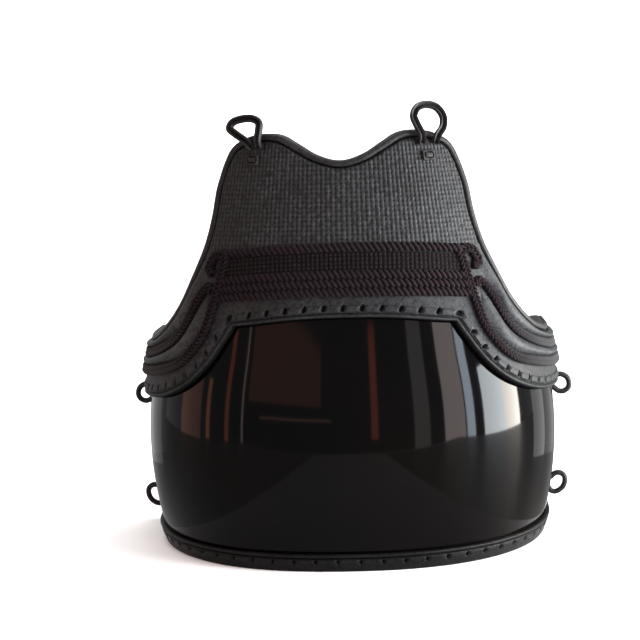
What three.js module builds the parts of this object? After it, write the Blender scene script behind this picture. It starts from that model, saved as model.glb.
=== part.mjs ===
import * as THREE from 'three';

// Kendo do: a moulded chest protector with a laced leather chest pad and a laced hem.
// Millimetres, +Z up. The front centre of the belly is near y = 0 and the open back is towards +Y.
// An arc is a length round the body at its widest level, from the front centre, positive to +X.

// Form of the moulded body
const BODY_HALF_WIDTH = 200;
const BODY_DEPTH = 218;
const PLAN_POWER = 2.28;
const BACK_RUN = 40;
const BELLY_HEIGHT = 100;
const BELLY_RADIUS = 334;
const CHEST_LEAN = 0.2625;
const SHELL_WALL = 4;

// Outline of the body and of the chest pad
const SHOULDER_HEIGHT = 391.5;
const SHOULDER_ARC = 96;
const NECK_DROP = 25.5;
const ARMHOLE_HEIGHT = 200;
const PAD_FRONT_HEIGHT = 227;
const PAD_CORNER_ARC = 111;
const PAD_CORNER_DROP = 7.5;
const PAD_SIDE_HEIGHT = 142;

// Walls, beads and straps
const PAD_TOP = 7;
const SEAT_GAP = 0.6;
const BINDING_WIDTH = 6.5;
const BINDING_PROUD = 1.6;
const BEAD_WIDTH = 6;
const LACE_WIDTH = 6;
const LACE_THICKNESS = 1.6;
const LACE_INSET = 10;
const LACE_PITCH = 17.5;
const HEM_HEIGHT = 16.6;
const HEM_WALL = 3;
const HEM_TURN = 12;
const HEM_BEAD = 3;
const HEM_BEAD_PROUD = 1;
const HEM_LACE_WIDTH = 5;
const HEM_LACE_HEIGHT = 8.6;
const HEM_LACE_PITCH = 21;

// Ornament band and wing cords
const BAND_TOP_HEIGHT = 293.6;
const BAND_DROP = 4;
const TOP_CORD_WIDTH = 8;
const PANEL_HEIGHT = 15.4;
const PANEL_THICKNESS = 3;
const BRAID_WIDTH = 7;
const BRAID_COUNT = 3;
const BRAID_THICKNESS = 4.4;
const CORD_WIDTH = 7.4;
const CORD_THICKNESS = 4.6;
const RIB_CROWN = 4.6;
const RIB_EDGE = 1.4;
const RIB_FROM = 0.6;
const RIB_TIP = 0.3;
const RIB_TIP_RUN = 0.2;
const BACK_MARGIN = 5;

// Loops
const STRAP = 5.6;
const LOOP_WIDTH = 31;
const LOOP_RISE = 35;
const LOOP_ARC = 107;
const LOOP_BELOW_SHOULDER = 12;
const STUB_WIDTH = 12.5;
const STUB_HEIGHT = 9.6;
const STUB_THICKNESS = 3.2;
const STUB_EDGE = 0.7;
const STUB_CORNER = 0.88;
const STUB_BELOW_LOOP = 12;
const THONG = 4.6;
const SIDE_LOOP_FROM_BACK = 12;

// Columns and rows of the large grids
const FRONT_COLUMNS = 18;
const WING_COLUMNS = 15;
const BELLY_ROWS = 7;
const CHEST_ROWS = 2;
const BEND_SHARE = 0.8;
const PAD_ROWS = 6;
const BAND_STEPS = 18;
const CORD_STEPS = 36;
const BRANCH_STEPS = 22;
const RIB_STEPS = 16;
const RIB_ROWS = 3;
const LOOP_STEPS = 26;
const THONG_STEPS = 16;
const OVAL_SAMPLES = 400;
const LINE_SAMPLES = 240;
const LINE_STEP = 0.003;

// Rib lines: the matching points on the rim, the pad's lower edge and the hem, front to back.
// Neckline rows: share of SHOULDER_ARC, share of NECK_DROP above the lowest place.
const NECKLINE = [
  [0, 0],
  [0.25, 0.2],
  [0.5, 0.6],
  [0.73, 0.92],
  [1, 1],
];
// Armhole rows: share of the arc from shoulder to back edge, share of the height over the armhole.
const ARMHOLE = [
  [0.1, 0.982],
  [0.192, 0.925],
  [0.242, 0.761],
  [0.244, 0.607],
  [0.26, 0.478],
  [0.306, 0.334],
  [0.371, 0.18],
  [0.47, 0.072],
  [0.613, 0.018],
  [0.798, 0.005],
  [1, 0],
];
// Front edge rows: share of PAD_CORNER_ARC, share of PAD_CORNER_DROP.
const FRONT_EDGE = [
  [0, 0],
  [0.22, 0.03],
  [0.42, 0.18],
  [0.6, 0.4],
  [0.76, 0.66],
  [0.885, 0.85],
  [1, 1],
];
// Wing edge rows: share of the arc from corner to back edge, share of the height over the side.
const WING_EDGE = [
  [0, 1],
  [0.019, 0.893],
  [0.041, 0.792],
  [0.072, 0.644],
  [0.117, 0.477],
  [0.179, 0.318],
  [0.26, 0.188],
  [0.392, 0.074],
  [0.674, 0.013],
  [1, 0],
];
// Hem rows: share of the arc from front centre to back edge.
const HEM_ARC = [0, 0.064, 0.127, 0.186, 0.244, 0.297, 0.34, 0.372, 0.398, 0.425, 0.467, 0.531, 0.611, 0.704,
  0.85, 1];

// Cord rows: along (0 front centre, 1 back edge), across (0 lower edge of the pad, 1 rim).
const WING_CORD = [
  [0.519, 0.513],
  [0.55, 0.658],
  [0.509, 0.611],
  [0.444, 0.488],
  [0.412, 0.398],
  [0.43, 0.375],
  [0.447, 0.358],
  [0.473, 0.339],
  [0.512, 0.339],
  [0.559, 0.323],
  [0.613, 0.28],
  [0.643, 0.27],
  [0.68, 0.271],
  [0.737, 0.295],
  [0.774, 0.334],
  [0.81, 0.385],
  [0.846, 0.415],
  [0.899, 0.43],
  [1, 0.42],
];
const WING_CORD_FOOT = 4;
const WING_BRANCH = [
  [0.55, 0.475],
  [0.565, 0.53],
  [0.603, 0.603],
  [0.628, 0.626],
  [0.652, 0.632],
  [0.676, 0.619],
  [0.698, 0.611],
  [0.743, 0.628],
  [0.776, 0.662],
  [0.812, 0.692],
  [0.843, 0.705],
  [0.896, 0.7],
  [1, 0.69],
];

// Shoulder loop rows: share of LOOP_WIDTH away from the neck, share of LOOP_RISE, share of STRAP outwards.
const UPRIGHT_LOOP = [
  [-0.27, 0, 0.12],
  [-0.27, 0, 0.55],
  [-0.29, 0.15, 1.2],
  [-0.42, 0.45, 1.3],
  [-0.47, 0.7, 1.2],
  [-0.3, 0.93, 1.2],
  [0.02, 1, 1.2],
  [0.33, 0.91, 1.2],
  [0.5, 0.65, 1.2],
  [0.43, 0.36, 1.3],
  [0.24, 0.14, 1.2],
  [0.2, 0, 0.55],
  [0.2, 0, 0.12],
];
const FLOPPED_LOOP = [
  [0.17, 0, 0.12],
  [0.17, 0, 0.55],
  [0.32, 0.14, 1.3],
  [0.62, 0.31, 1.5],
  [0.86, 0.48, 1.5],
  [0.8, 0.64, 1.4],
  [0.48, 0.74, 1.3],
  [0.12, 0.74, 1.2],
  [-0.1, 0.62, 1.2],
  [-0.14, 0.38, 1.3],
  [-0.12, 0.14, 1.2],
  [-0.11, 0, 0.55],
  [-0.11, 0, 0.12],
];
// Side loop rows: share of the loop's own height, share of its own reach.
const SIDE_LOOP = [
  [-0.2, 0],
  [-0.2, 0.12],
  [-0.28, 0.24],
  [-0.45, 0.42],
  [-0.48, 0.66],
  [-0.3, 0.92],
  [0, 1],
  [0.3, 0.92],
  [0.48, 0.66],
  [0.45, 0.42],
  [0.28, 0.24],
  [0.2, 0.12],
  [0.2, 0],
];
// The four side loops: side, name, height on the body, height of the loop, reach of the loop.
const SIDE_LOOPS = [
  [-1, 'side_loop_upper_left', 132, 18, 20],
  [1, 'side_loop_upper_right', 132, 18, 20],
  [-1, 'side_loop_lower_left', 30, 20, 20],
  [1, 'side_loop_lower_right', 30, 20, 20],
];

// Plan curve: a quarter of a rounded oval from the front centre to the widest place, then straight back.
function ovalPoint(angle) {
  const power = 2 / PLAN_POWER;
  const x = BODY_HALF_WIDTH * Math.sin(angle) ** power;
  const y = BODY_DEPTH * (1 - Math.abs(Math.cos(angle)) ** power);
  return [x, y];
}

function ovalRows(count) {
  const rows = [];
  let arc = 0;
  for (let i = 0; i <= count; i += 1) {
    const [x, y] = ovalPoint((Math.PI / 2) * (i / count));
    if (i > 0) {
      const [, xBefore, yBefore] = rows[i - 1];
      arc += Math.hypot(x - xBefore, y - yBefore);
    }
    rows.push([arc, x, y]);
  }
  return rows;
}

const OVAL_ROWS = ovalRows(OVAL_SAMPLES);
const SIDE_ARC = OVAL_ROWS[OVAL_ROWS.length - 1][0];
const BACK_ARC = SIDE_ARC + BACK_RUN;

function planAt(arc) {
  const side = arc < 0 ? -1 : 1;
  const run = Math.abs(arc);
  if (run >= SIDE_ARC) {
    return { x: side * BODY_HALF_WIDTH, y: BODY_DEPTH + run - SIDE_ARC, nx: side, ny: 0 };
  }
  const next = OVAL_ROWS.findIndex((row) => row[0] > run);
  const [arc0, x0, y0] = OVAL_ROWS[next - 1];
  const [arc1, x1, y1] = OVAL_ROWS[next];
  const share = (run - arc0) / (arc1 - arc0);
  const x = THREE.MathUtils.lerp(x0, x1, share);
  const y = THREE.MathUtils.lerp(y0, y1, share);
  const power = PLAN_POWER - 1;
  const nx = (x / BODY_HALF_WIDTH) ** power / BODY_HALF_WIDTH;
  const ny = -(Math.max(0, 1 - y / BODY_DEPTH) ** power) / BODY_DEPTH;
  const length = Math.hypot(nx, ny);
  return { x: side * x, y, nx: (side * nx) / length, ny: ny / length };
}

// How far the body lies inside its widest plan curve: round at the belly, then a straight lean.
const STRAIGHT_FROM = BELLY_HEIGHT + CHEST_LEAN * BELLY_RADIUS;

function leanAt(height) {
  const round = (Math.min(height, STRAIGHT_FROM) - BELLY_HEIGHT) ** 2 / (2 * BELLY_RADIUS);
  return round + Math.max(0, height - STRAIGHT_FROM) * CHEST_LEAN;
}

// A point on the body: arc round it, height over the floor, distance out of the moulded surface.
function onBody(arc, height, out) {
  const plan = planAt(arc);
  const offset = out - leanAt(height);
  return new THREE.Vector3(plan.x + plan.nx * offset, plan.y + plan.ny * offset, height);
}

// The body's own directions at a point, as lengths per millimetre of arc and of height.
function bodyAxes(arc, height) {
  const round = onBody(arc + 0.5, height, 0).sub(onBody(arc - 0.5, height, 0));
  const up = onBody(arc, height + 0.5, 0).sub(onBody(arc, height - 0.5, 0));
  const normal = round.clone().cross(up).normalize();
  return { round, up, normal };
}

// The curve through rows, mirrored where it crosses the front centre.
function rowCurve(rows) {
  return new THREE.CatmullRomCurve3(rows.map(([a, b, c = 0]) => new THREE.Vector3(a, b, c)), false, 'centripetal');
}

function mirrored(rows) {
  const left = rows.slice(1).reverse().map(([arc, height]) => [-arc, height]);
  return [...left, ...rows];
}

const ARMHOLE_RUN = BACK_ARC - SHOULDER_ARC;
const SHOULDER_RISE = SHOULDER_HEIGHT - ARMHOLE_HEIGHT;
const RIM_ROWS = [
  ...NECKLINE.map(([arc, rise]) => [arc * SHOULDER_ARC, SHOULDER_HEIGHT - NECK_DROP * (1 - rise)]),
  ...ARMHOLE.map(([arc, rise]) => [SHOULDER_ARC + arc * ARMHOLE_RUN, ARMHOLE_HEIGHT + rise * SHOULDER_RISE]),
];
const RIM_CURVE = rowCurve(mirrored(RIM_ROWS));

const PAD_CORNER_HEIGHT = PAD_FRONT_HEIGHT - PAD_CORNER_DROP;
const FRONT_ROWS = FRONT_EDGE.map(([arc, drop]) => [
  arc * PAD_CORNER_ARC,
  PAD_FRONT_HEIGHT - drop * PAD_CORNER_DROP,
]);
const WING_ROWS = WING_EDGE.map(([arc, rise]) => [
  PAD_CORNER_ARC + arc * (BACK_ARC - PAD_CORNER_ARC),
  PAD_SIDE_HEIGHT + rise * (PAD_CORNER_HEIGHT - PAD_SIDE_HEIGHT),
]);
const FRONT_CURVE = rowCurve(mirrored(FRONT_ROWS));
const WING_CURVE = rowCurve(WING_ROWS);
const HEM_CURVE = rowCurve(mirrored(HEM_ARC.map((arc) => [arc * BACK_ARC, 0])));
const CORNER_ALONG = (FRONT_EDGE.length - 1) / (RIM_ROWS.length - 1);

// Edges by along: -1 left back edge, 0 front centre, 1 right back edge.
function rimAt(along) {
  const point = RIM_CURVE.getPoint((along + 1) / 2);
  return [point.x, point.y];
}

function padEdgeAt(along) {
  const run = Math.abs(along);
  if (run <= CORNER_ALONG) {
    const point = FRONT_CURVE.getPoint((along / CORNER_ALONG + 1) / 2);
    return [point.x, point.y];
  }
  const point = WING_CURVE.getPoint((run - CORNER_ALONG) / (1 - CORNER_ALONG));
  return [Math.sign(along) * point.x, point.y];
}

// Moves a point of a line on the body by a real length, towards the left of the line's direction.
function sideways([arc, height], from, to, distance) {
  const { round, up } = bodyAxes(arc, height);
  const tangentArc = (to[0] - from[0]) * round.length();
  const tangentHeight = (to[1] - from[1]) * up.length();
  const length = Math.hypot(tangentArc, tangentHeight);
  return [
    arc - (tangentHeight / length) * (distance / round.length()),
    height + (tangentArc / length) * (distance / up.length()),
  ];
}

function shifted(edge, along, distance) {
  const from = edge(Math.max(-1, along - LINE_STEP));
  const to = edge(Math.min(1, along + LINE_STEP));
  return sideways(edge(along), from, to, distance);
}

function inRim(along, distance) {
  return shifted(rimAt, along, -distance);
}

function inPadEdge(along, distance) {
  return shifted(padEdgeAt, along, distance);
}

// A place on the pad: along its length, and across it from its lower edge to the rim.
function onPad(along, across) {
  const [lowArc, lowHeight] = padEdgeAt(along);
  const [rimArc, rimHeight] = rimAt(along);
  return [THREE.MathUtils.lerp(lowArc, rimArc, across), THREE.MathUtils.lerp(lowHeight, rimHeight, across)];
}

// Values of along that part an edge into equal real lengths.
function pacedOut(edge, from, to, steps) {
  const lengths = [0];
  let before = onBody(...edge(from), 0);
  for (let i = 1; i <= LINE_SAMPLES; i += 1) {
    const here = onBody(...edge(THREE.MathUtils.lerp(from, to, i / LINE_SAMPLES)), 0);
    lengths.push(lengths[i - 1] + here.distanceTo(before));
    before = here;
  }
  const total = lengths[LINE_SAMPLES];
  const places = [];
  for (let step = 0; step <= steps; step += 1) {
    const goal = Math.min(total * (step / steps), total - 1e-9);
    const next = Math.max(1, lengths.findIndex((length) => length > goal));
    const share = (goal - lengths[next - 1]) / (lengths[next] - lengths[next - 1]);
    places.push(THREE.MathUtils.lerp(from, to, (next - 1 + share) / LINE_SAMPLES));
  }
  return places;
}

function runLength(edge, from, to) {
  let length = 0;
  let before = onBody(...edge(from), 0);
  for (let i = 1; i <= LINE_SAMPLES; i += 1) {
    const here = onBody(...edge(THREE.MathUtils.lerp(from, to, i / LINE_SAMPLES)), 0);
    length += here.distanceTo(before);
    before = here;
  }
  return length;
}

// The columns that the shell, pad, edging and beads share, so that their facets match.
function columnPlaces() {
  const middleLine = (along) => onPad(along, 0.5);
  const front = pacedOut(rimAt, -CORNER_ALONG, CORNER_ALONG, FRONT_COLUMNS);
  const wing = pacedOut(middleLine, CORNER_ALONG, 1, WING_COLUMNS);
  const leftWing = wing.slice(1).reverse().map((along) => -along);
  return [...leftWing, ...front, ...wing.slice(1)];
}

const COLUMNS = columnPlaces();
const LAST_COLUMN = COLUMNS.length - 1;

function columnAt(share) {
  return COLUMNS[Math.round(share * LAST_COLUMN)];
}

function hemArcAt(along) {
  return HEM_CURVE.getPoint((along + 1) / 2).x;
}

// Materials
const shellLacquer = () => new THREE.MeshStandardMaterial({ color: 0x171515, roughness: 0.08, metalness: 0 });
const leather = () => new THREE.MeshStandardMaterial({ color: 0x3b3b3d, roughness: 0.55, metalness: 0 });
const blackLeather = () => new THREE.MeshStandardMaterial({ color: 0x1d1d1e, roughness: 0.5, metalness: 0 });
const braid = () => new THREE.MeshStandardMaterial({ color: 0x21191d, roughness: 0.85, metalness: 0 });

const group = new THREE.Group();

function addPiece(name, geometry, material) {
  geometry.computeVertexNormals();
  const mesh = new THREE.Mesh(geometry, material());
  mesh.name = name;
  group.add(mesh);
}

// Moves every corner of a geometry to the place that a function gives for it.
function warped(geometry, place) {
  const position = geometry.attributes.position;
  const corner = new THREE.Vector3();
  for (let i = 0; i < position.count; i += 1) {
    corner.fromBufferAttribute(position, i);
    const moved = place(corner.x, corner.y, corner.z);
    position.setXYZ(i, moved.x, moved.y, moved.z);
  }
  return geometry;
}

// A block of unit size, its corner at the origin, cut into columns, rows and one layer.
function unitBlock(columns, rows) {
  return new THREE.BoxGeometry(1, 1, 1, columns, rows, 1).translate(0.5, 0.5, 0.5);
}

// A section of side and out lengths, drawn out in steps along a run of unit length.
function unitRun(section, steps) {
  const outline = new THREE.Shape(section.map(([side, out]) => new THREE.Vector2(side, out)));
  return new THREE.ExtrudeGeometry(outline, { depth: 1, steps, bevelEnabled: false });
}

// A six-sided oval section that rests on its flat underside.
function ovalSection(width, thickness) {
  const foot = 0.3 * width;
  const crown = 0.28 * width;
  const waist = 0.42 * thickness;
  return [
    [-foot, 0],
    [foot, 0],
    [width / 2, waist],
    [crown, thickness],
    [-crown, thickness],
    [-width / 2, waist],
  ];
}

// Lays a section along a route on the body. The route gives arc and height by its share.
function laidOn(route, base, section, steps) {
  const shares = pacedOut(route, 0, 1, steps);
  return warped(unitRun(section, steps), (side, out, z) => {
    const share = shares[Math.round(z * steps)];
    const from = route(Math.max(0, share - LINE_STEP));
    const to = route(Math.min(1, share + LINE_STEP));
    return onBody(...sideways(route(share), from, to, side), base + out);
  });
}

// Lays a section inside an edge, at given values of along.
function laidAlong(insideEdge, base, section, places) {
  return warped(unitRun(section, places.length - 1), (side, out, z) => {
    const along = places[Math.round(z * (places.length - 1))];
    return onBody(...insideEdge(along, side), base + out);
  });
}

// The moulded body
function makeShell() {
  const hemClear = HEM_WALL + SEAT_GAP;
  const rimClear = BINDING_WIDTH + SEAT_GAP;
  const rows = BELLY_ROWS + CHEST_ROWS;
  const bend = BELLY_ROWS / rows;
  const geometry = warped(unitBlock(LAST_COLUMN, rows), (x, y, z) => {
    const along = columnAt(x);
    const lowArc = hemArcAt(along);
    const [rimArc, rimHeight] = inRim(along, rimClear);
    const bendHeight = Math.min(STRAIGHT_FROM, rimHeight * BEND_SHARE);
    const height = y <= bend
      ? THREE.MathUtils.mapLinear(y, 0, bend, hemClear, bendHeight)
      : THREE.MathUtils.mapLinear(y, bend, 1, bendHeight, rimHeight);
    const arc = THREE.MathUtils.mapLinear(height, hemClear, rimHeight, lowArc, rimArc);
    return onBody(arc, height, (z - 1) * SHELL_WALL);
  });
  addPiece('body_shell', geometry, shellLacquer);
}

// The padded leather chest
function makeChestPad() {
  const rimClear = BINDING_WIDTH + SEAT_GAP;
  const beadClear = BEAD_WIDTH + SEAT_GAP;
  const geometry = warped(unitBlock(LAST_COLUMN, PAD_ROWS), (x, y, z) => {
    const along = columnAt(x);
    const [lowArc, lowHeight] = inPadEdge(along, beadClear);
    const [rimArc, rimHeight] = inRim(along, rimClear);
    const arc = THREE.MathUtils.lerp(lowArc, rimArc, y);
    const height = THREE.MathUtils.lerp(lowHeight, rimHeight, y);
    return onBody(arc, height, THREE.MathUtils.lerp(SEAT_GAP, PAD_TOP, z));
  });
  addPiece('chest_pad', geometry, leather);
}

// The bead over the rim of shell and pad
function makeRimBinding() {
  const under = SHELL_WALL + SEAT_GAP;
  const top = PAD_TOP + BINDING_PROUD;
  const round = BINDING_WIDTH * 0.26;
  const section = [
    [0, -under],
    [BINDING_WIDTH, -under],
    [BINDING_WIDTH, top - round],
    [BINDING_WIDTH - round, top],
    [round, top],
    [0, top - round],
  ];
  const inside = (along, distance) => inRim(along, BINDING_WIDTH - distance);
  addPiece('rim_binding', laidAlong(inside, 0, section, COLUMNS), blackLeather);
}

// Values of along for the pad's lower edge, with a place at each corner and holes at an even pitch.
function padEdgePlaces(stepsPerHole) {
  const lacePath = (along) => inPadEdge(along, LACE_INSET);
  const end = endAlong(padEdgeAt);
  const frontHoles = Math.round(runLength(lacePath, -CORNER_ALONG, CORNER_ALONG) / LACE_PITCH);
  const wingHoles = Math.round(runLength(lacePath, CORNER_ALONG, end) / LACE_PITCH);
  const front = pacedOut(lacePath, -CORNER_ALONG, CORNER_ALONG, frontHoles * stepsPerHole);
  const wing = pacedOut(lacePath, CORNER_ALONG, end, wingHoles * stepsPerHole);
  const leftWing = wing.slice(1).reverse().map((along) => -along);
  return [...leftWing, ...front, ...wing.slice(1)];
}

// The value of along that ends a run BACK_MARGIN short of the back edge.
function endAlong(edge) {
  const whole = runLength(edge, CORNER_ALONG, 1);
  const steps = Math.round(whole);
  const paced = pacedOut(edge, CORNER_ALONG, 1, steps);
  return paced[Math.round(steps - BACK_MARGIN)];
}

// The rolled bead along the pad's lower edge
function makePadBead() {
  const section = ovalSection(BEAD_WIDTH, PAD_TOP).map(([side, out]) => [side + BEAD_WIDTH / 2, out]);
  addPiece('pad_bead', laidAlong(inPadEdge, SEAT_GAP, section, COLUMNS), leather);
}

// A flat strap section that is thinner where it goes down through a hole, at every second step
function strapTop(out, step) {
  return out > 0 && step % 2 === 0 ? LACE_THICKNESS / 2 : out;
}

function flatSection(width, thickness) {
  return [
    [-width / 2, 0],
    [width / 2, 0],
    [width / 2, thickness],
    [-width / 2, thickness],
  ];
}

// The thong that laces the pad's lower edge
function makeChestLace() {
  const places = padEdgePlaces(2);
  const steps = places.length - 1;
  const geometry = warped(unitRun(flatSection(LACE_WIDTH, LACE_THICKNESS), steps), (side, out, z) => {
    const step = Math.round(z * steps);
    const [arc, height] = inPadEdge(places[step], LACE_INSET + side);
    return onBody(arc, height, PAD_TOP + SEAT_GAP + strapTop(out, step));
  });
  addPiece('chest_lace', geometry, leather);
}

// The leather edging turned over the bottom edge, with a bead along its top
function makeHem() {
  const face = SEAT_GAP + HEM_WALL;
  const inside = -SHELL_WALL - SEAT_GAP;
  const beadFrom = HEM_HEIGHT - HEM_BEAD;
  const section = [
    [0, inside - HEM_WALL],
    [0, face],
    [beadFrom, face],
    [beadFrom, face + HEM_BEAD_PROUD],
    [HEM_HEIGHT, face + HEM_BEAD_PROUD],
    [HEM_HEIGHT, SEAT_GAP],
    [HEM_WALL, SEAT_GAP],
    [HEM_WALL, inside],
    [HEM_TURN, inside],
    [HEM_TURN, inside - HEM_WALL],
  ];
  const geometry = warped(unitRun(section, LAST_COLUMN), (height, out, share) => {
    return onBody(hemArcAt(columnAt(share)), height, out);
  });
  addPiece('hem_edging', geometry, blackLeather);
}

// The thong that laces the hem
function makeHemLace() {
  const end = BACK_ARC - BACK_MARGIN;
  const steps = 4 * Math.round(end / HEM_LACE_PITCH);
  const base = SEAT_GAP + HEM_WALL + SEAT_GAP;
  const geometry = warped(unitRun(flatSection(HEM_LACE_WIDTH, LACE_THICKNESS), steps), (side, out, z) => {
    const arc = THREE.MathUtils.lerp(-end, end, z);
    return onBody(arc, HEM_LACE_HEIGHT + side, base + strapTop(out, Math.round(z * steps)));
  });
  addPiece('hem_lace', geometry, blackLeather);
}

// Ornament band: a twisted cord, a panel of square stitches and braids, between the wing cords
const WING_CORD_CURVE = rowCurve(WING_CORD);
const WING_BRANCH_CURVE = rowCurve(WING_BRANCH);

function bandHeight(arc, below) {
  return BAND_TOP_HEIGHT - below - BAND_DROP * (arc / PAD_CORNER_ARC) ** 2;
}

// The arc where a band row meets the wing cord, less half of the cord and a gap.
function bandEnd(below) {
  const topRow = WING_CORD_FOOT - 0.5;
  const lastRow = WING_CORD.length - 1;
  for (let i = 0; i <= LINE_SAMPLES; i += 1) {
    const point = WING_CORD_CURVE.getPoint(THREE.MathUtils.lerp(topRow, lastRow, i / LINE_SAMPLES) / lastRow);
    const [arc, height] = onPad(point.x, point.y);
    if (height <= bandHeight(arc, below)) {
      const { round } = bodyAxes(arc, height);
      return arc - (CORD_WIDTH / 2 + 2 * SEAT_GAP) / round.length();
    }
  }
  return PAD_CORNER_ARC;
}

function addBandRow(name, below, width, section) {
  const end = bandEnd(below - width / 2);
  const route = (share) => {
    const arc = THREE.MathUtils.lerp(-end, end, share);
    return [arc, bandHeight(arc, below)];
  };
  addPiece(name, laidOn(route, PAD_TOP + SEAT_GAP, section, BAND_STEPS), braid);
}

function makeBand() {
  const topCord = ovalSection(TOP_CORD_WIDTH, CORD_THICKNESS);
  addBandRow('band_top_cord', TOP_CORD_WIDTH / 2, TOP_CORD_WIDTH, topCord);
  const panelFrom = TOP_CORD_WIDTH + SEAT_GAP;
  const panel = flatSection(PANEL_HEIGHT, PANEL_THICKNESS);
  addBandRow('band_stitch_panel', panelFrom + PANEL_HEIGHT / 2, PANEL_HEIGHT, panel);
  const braidsFrom = panelFrom + PANEL_HEIGHT + SEAT_GAP;
  for (let i = 0; i < BRAID_COUNT; i += 1) {
    const below = braidsFrom + BRAID_WIDTH / 2 + i * (BRAID_WIDTH + SEAT_GAP);
    addBandRow(`band_braid_${i + 1}`, below, BRAID_WIDTH, ovalSection(BRAID_WIDTH, BRAID_THICKNESS));
  }
}

// Wing cords: one with a curl at its upper end, and a branch that springs from it in an arch
function wingRoute(curve, side) {
  const last = endShare(curve);
  return (share) => {
    const point = curve.getPoint(last * (side > 0 ? share : 1 - share));
    const [arc, height] = onPad(point.x, point.y);
    return [side * arc, height];
  };
}

// The share of a cord that ends BACK_MARGIN short of the back edge.
function endShare(curve) {
  for (let i = LINE_SAMPLES; i > 0; i -= 1) {
    const point = curve.getPoint(i / LINE_SAMPLES);
    if (BACK_ARC - onPad(point.x, point.y)[0] >= BACK_MARGIN) {
      return i / LINE_SAMPLES;
    }
  }
  return 1;
}

function makeWingCords(side, name) {
  const section = ovalSection(CORD_WIDTH, CORD_THICKNESS);
  const base = PAD_TOP + SEAT_GAP;
  const cord = laidOn(wingRoute(WING_CORD_CURVE, side), base, section, CORD_STEPS);
  addPiece(`wing_cord_${name}`, cord, braid);
  const branch = laidOn(wingRoute(WING_BRANCH_CURVE, side), base, section, BRANCH_STEPS);
  addPiece(`wing_branch_${name}`, branch, braid);
}

// A cord's middle line by along, past the row where the line turns to the back.
function tailLine(curve, footShare) {
  return (along) => {
    const halvings = 30;
    let low = footShare;
    let high = 1;
    for (let i = 0; i < halvings; i += 1) {
      const middle = (low + high) / 2;
      if (curve.getPoint(middle).x < along) {
        low = middle;
      } else {
        high = middle;
      }
    }
    return onPad(along, curve.getPoint(high).y);
  };
}

// A padded rib: a crowned strip between two lines on the pad, from its tip to near the back edge
function addRib(name, side, from, lowLine, highLine, material) {
  const to = endAlong(padEdgeAt);
  const geometry = warped(unitBlock(RIB_STEPS, RIB_ROWS), (x, y, z) => {
    const share = side > 0 ? x : 1 - x;
    const along = THREE.MathUtils.lerp(from, to, share);
    const low = lowLine(along);
    const high = highLine(along);
    const arc = THREE.MathUtils.lerp(low[0], high[0], y);
    const height = THREE.MathUtils.lerp(low[1], high[1], y);
    const growth = Math.min(1, RIB_TIP + share / RIB_TIP_RUN);
    const crown = RIB_EDGE + (RIB_CROWN - RIB_EDGE) * Math.sin(Math.PI * y) * growth;
    return onBody(side * arc, height, PAD_TOP + SEAT_GAP + z * crown);
  });
  addPiece(name, geometry, material);
}

function makeRibs(side, name) {
  const clear = CORD_WIDTH / 2 + 2 * SEAT_GAP;
  const cordLine = tailLine(WING_CORD_CURVE, WING_CORD_FOOT / (WING_CORD.length - 1));
  const branchLine = tailLine(WING_BRANCH_CURVE, 0);
  const overCord = (along) => shifted(cordLine, along, clear);
  const underBranch = (along) => shifted(branchLine, along, -clear);
  const overBranch = (along) => shifted(branchLine, along, clear);
  const underRim = (along) => inRim(along, BINDING_WIDTH + 2 * SEAT_GAP);
  addRib(`inner_rib_${name}`, side, RIB_FROM, overCord, underBranch, leather);
  addRib(`outer_rib_${name}`, side, RIB_FROM, overBranch, underRim, leather);
}

// Shoulder loops and the square strap ends under them
function strapSection(width, thickness) {
  const sides = 6;
  const points = [];
  for (let i = 0; i < sides; i += 1) {
    const angle = (2 * Math.PI * (i + 0.5)) / sides;
    points.push(new THREE.Vector2((Math.cos(angle) * width) / 2, (Math.sin(angle) * thickness) / 2));
  }
  return new THREE.Shape(points);
}

function makeShoulderLoop(side, name, rows) {
  const height = SHOULDER_HEIGHT - LOOP_BELOW_SHOULDER;
  const root = onBody(side * LOOP_ARC, height, PAD_TOP);
  const { round, up, normal } = bodyAxes(side * LOOP_ARC, height);
  const away = round.normalize().multiplyScalar(side);
  const rise = up.normalize();
  const points = rows.map(([across, lift, out]) => root.clone()
    .addScaledVector(away, across * LOOP_WIDTH)
    .addScaledVector(rise, lift * LOOP_RISE)
    .addScaledVector(normal, out * STRAP));
  const path = new THREE.CatmullRomCurve3(points, false, 'centripetal');
  const geometry = new THREE.ExtrudeGeometry(strapSection(STRAP, STRAP), { steps: LOOP_STEPS, extrudePath: path });
  addPiece(`shoulder_loop_${name}`, geometry, blackLeather);
}

function makeShoulderStub(side, name) {
  const height = SHOULDER_HEIGHT - LOOP_BELOW_SHOULDER - STUB_BELOW_LOOP;
  const { round, up, normal } = bodyAxes(side * LOOP_ARC, height);
  const centre = onBody(side * LOOP_ARC, height, PAD_TOP + SEAT_GAP);
  const geometry = warped(new THREE.BoxGeometry(1, 1, 1, 3, 3, 1), (x, y, z) => {
    const top = z > 0 ? 1 : 0;
    const atSide = Math.abs(x) === 0.5;
    const atEnd = Math.abs(y) === 0.5;
    const corner = atSide && atEnd ? STUB_CORNER : 1;
    const edge = atSide || atEnd ? STUB_EDGE : 1;
    return centre.clone()
      .addScaledVector(round.clone().normalize(), x * STUB_WIDTH * corner)
      .addScaledVector(up.clone().normalize(), y * STUB_HEIGHT * corner)
      .addScaledVector(normal, top * STUB_THICKNESS * edge);
  });
  addPiece(`shoulder_stub_${name}`, geometry, blackLeather);
}

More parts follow.
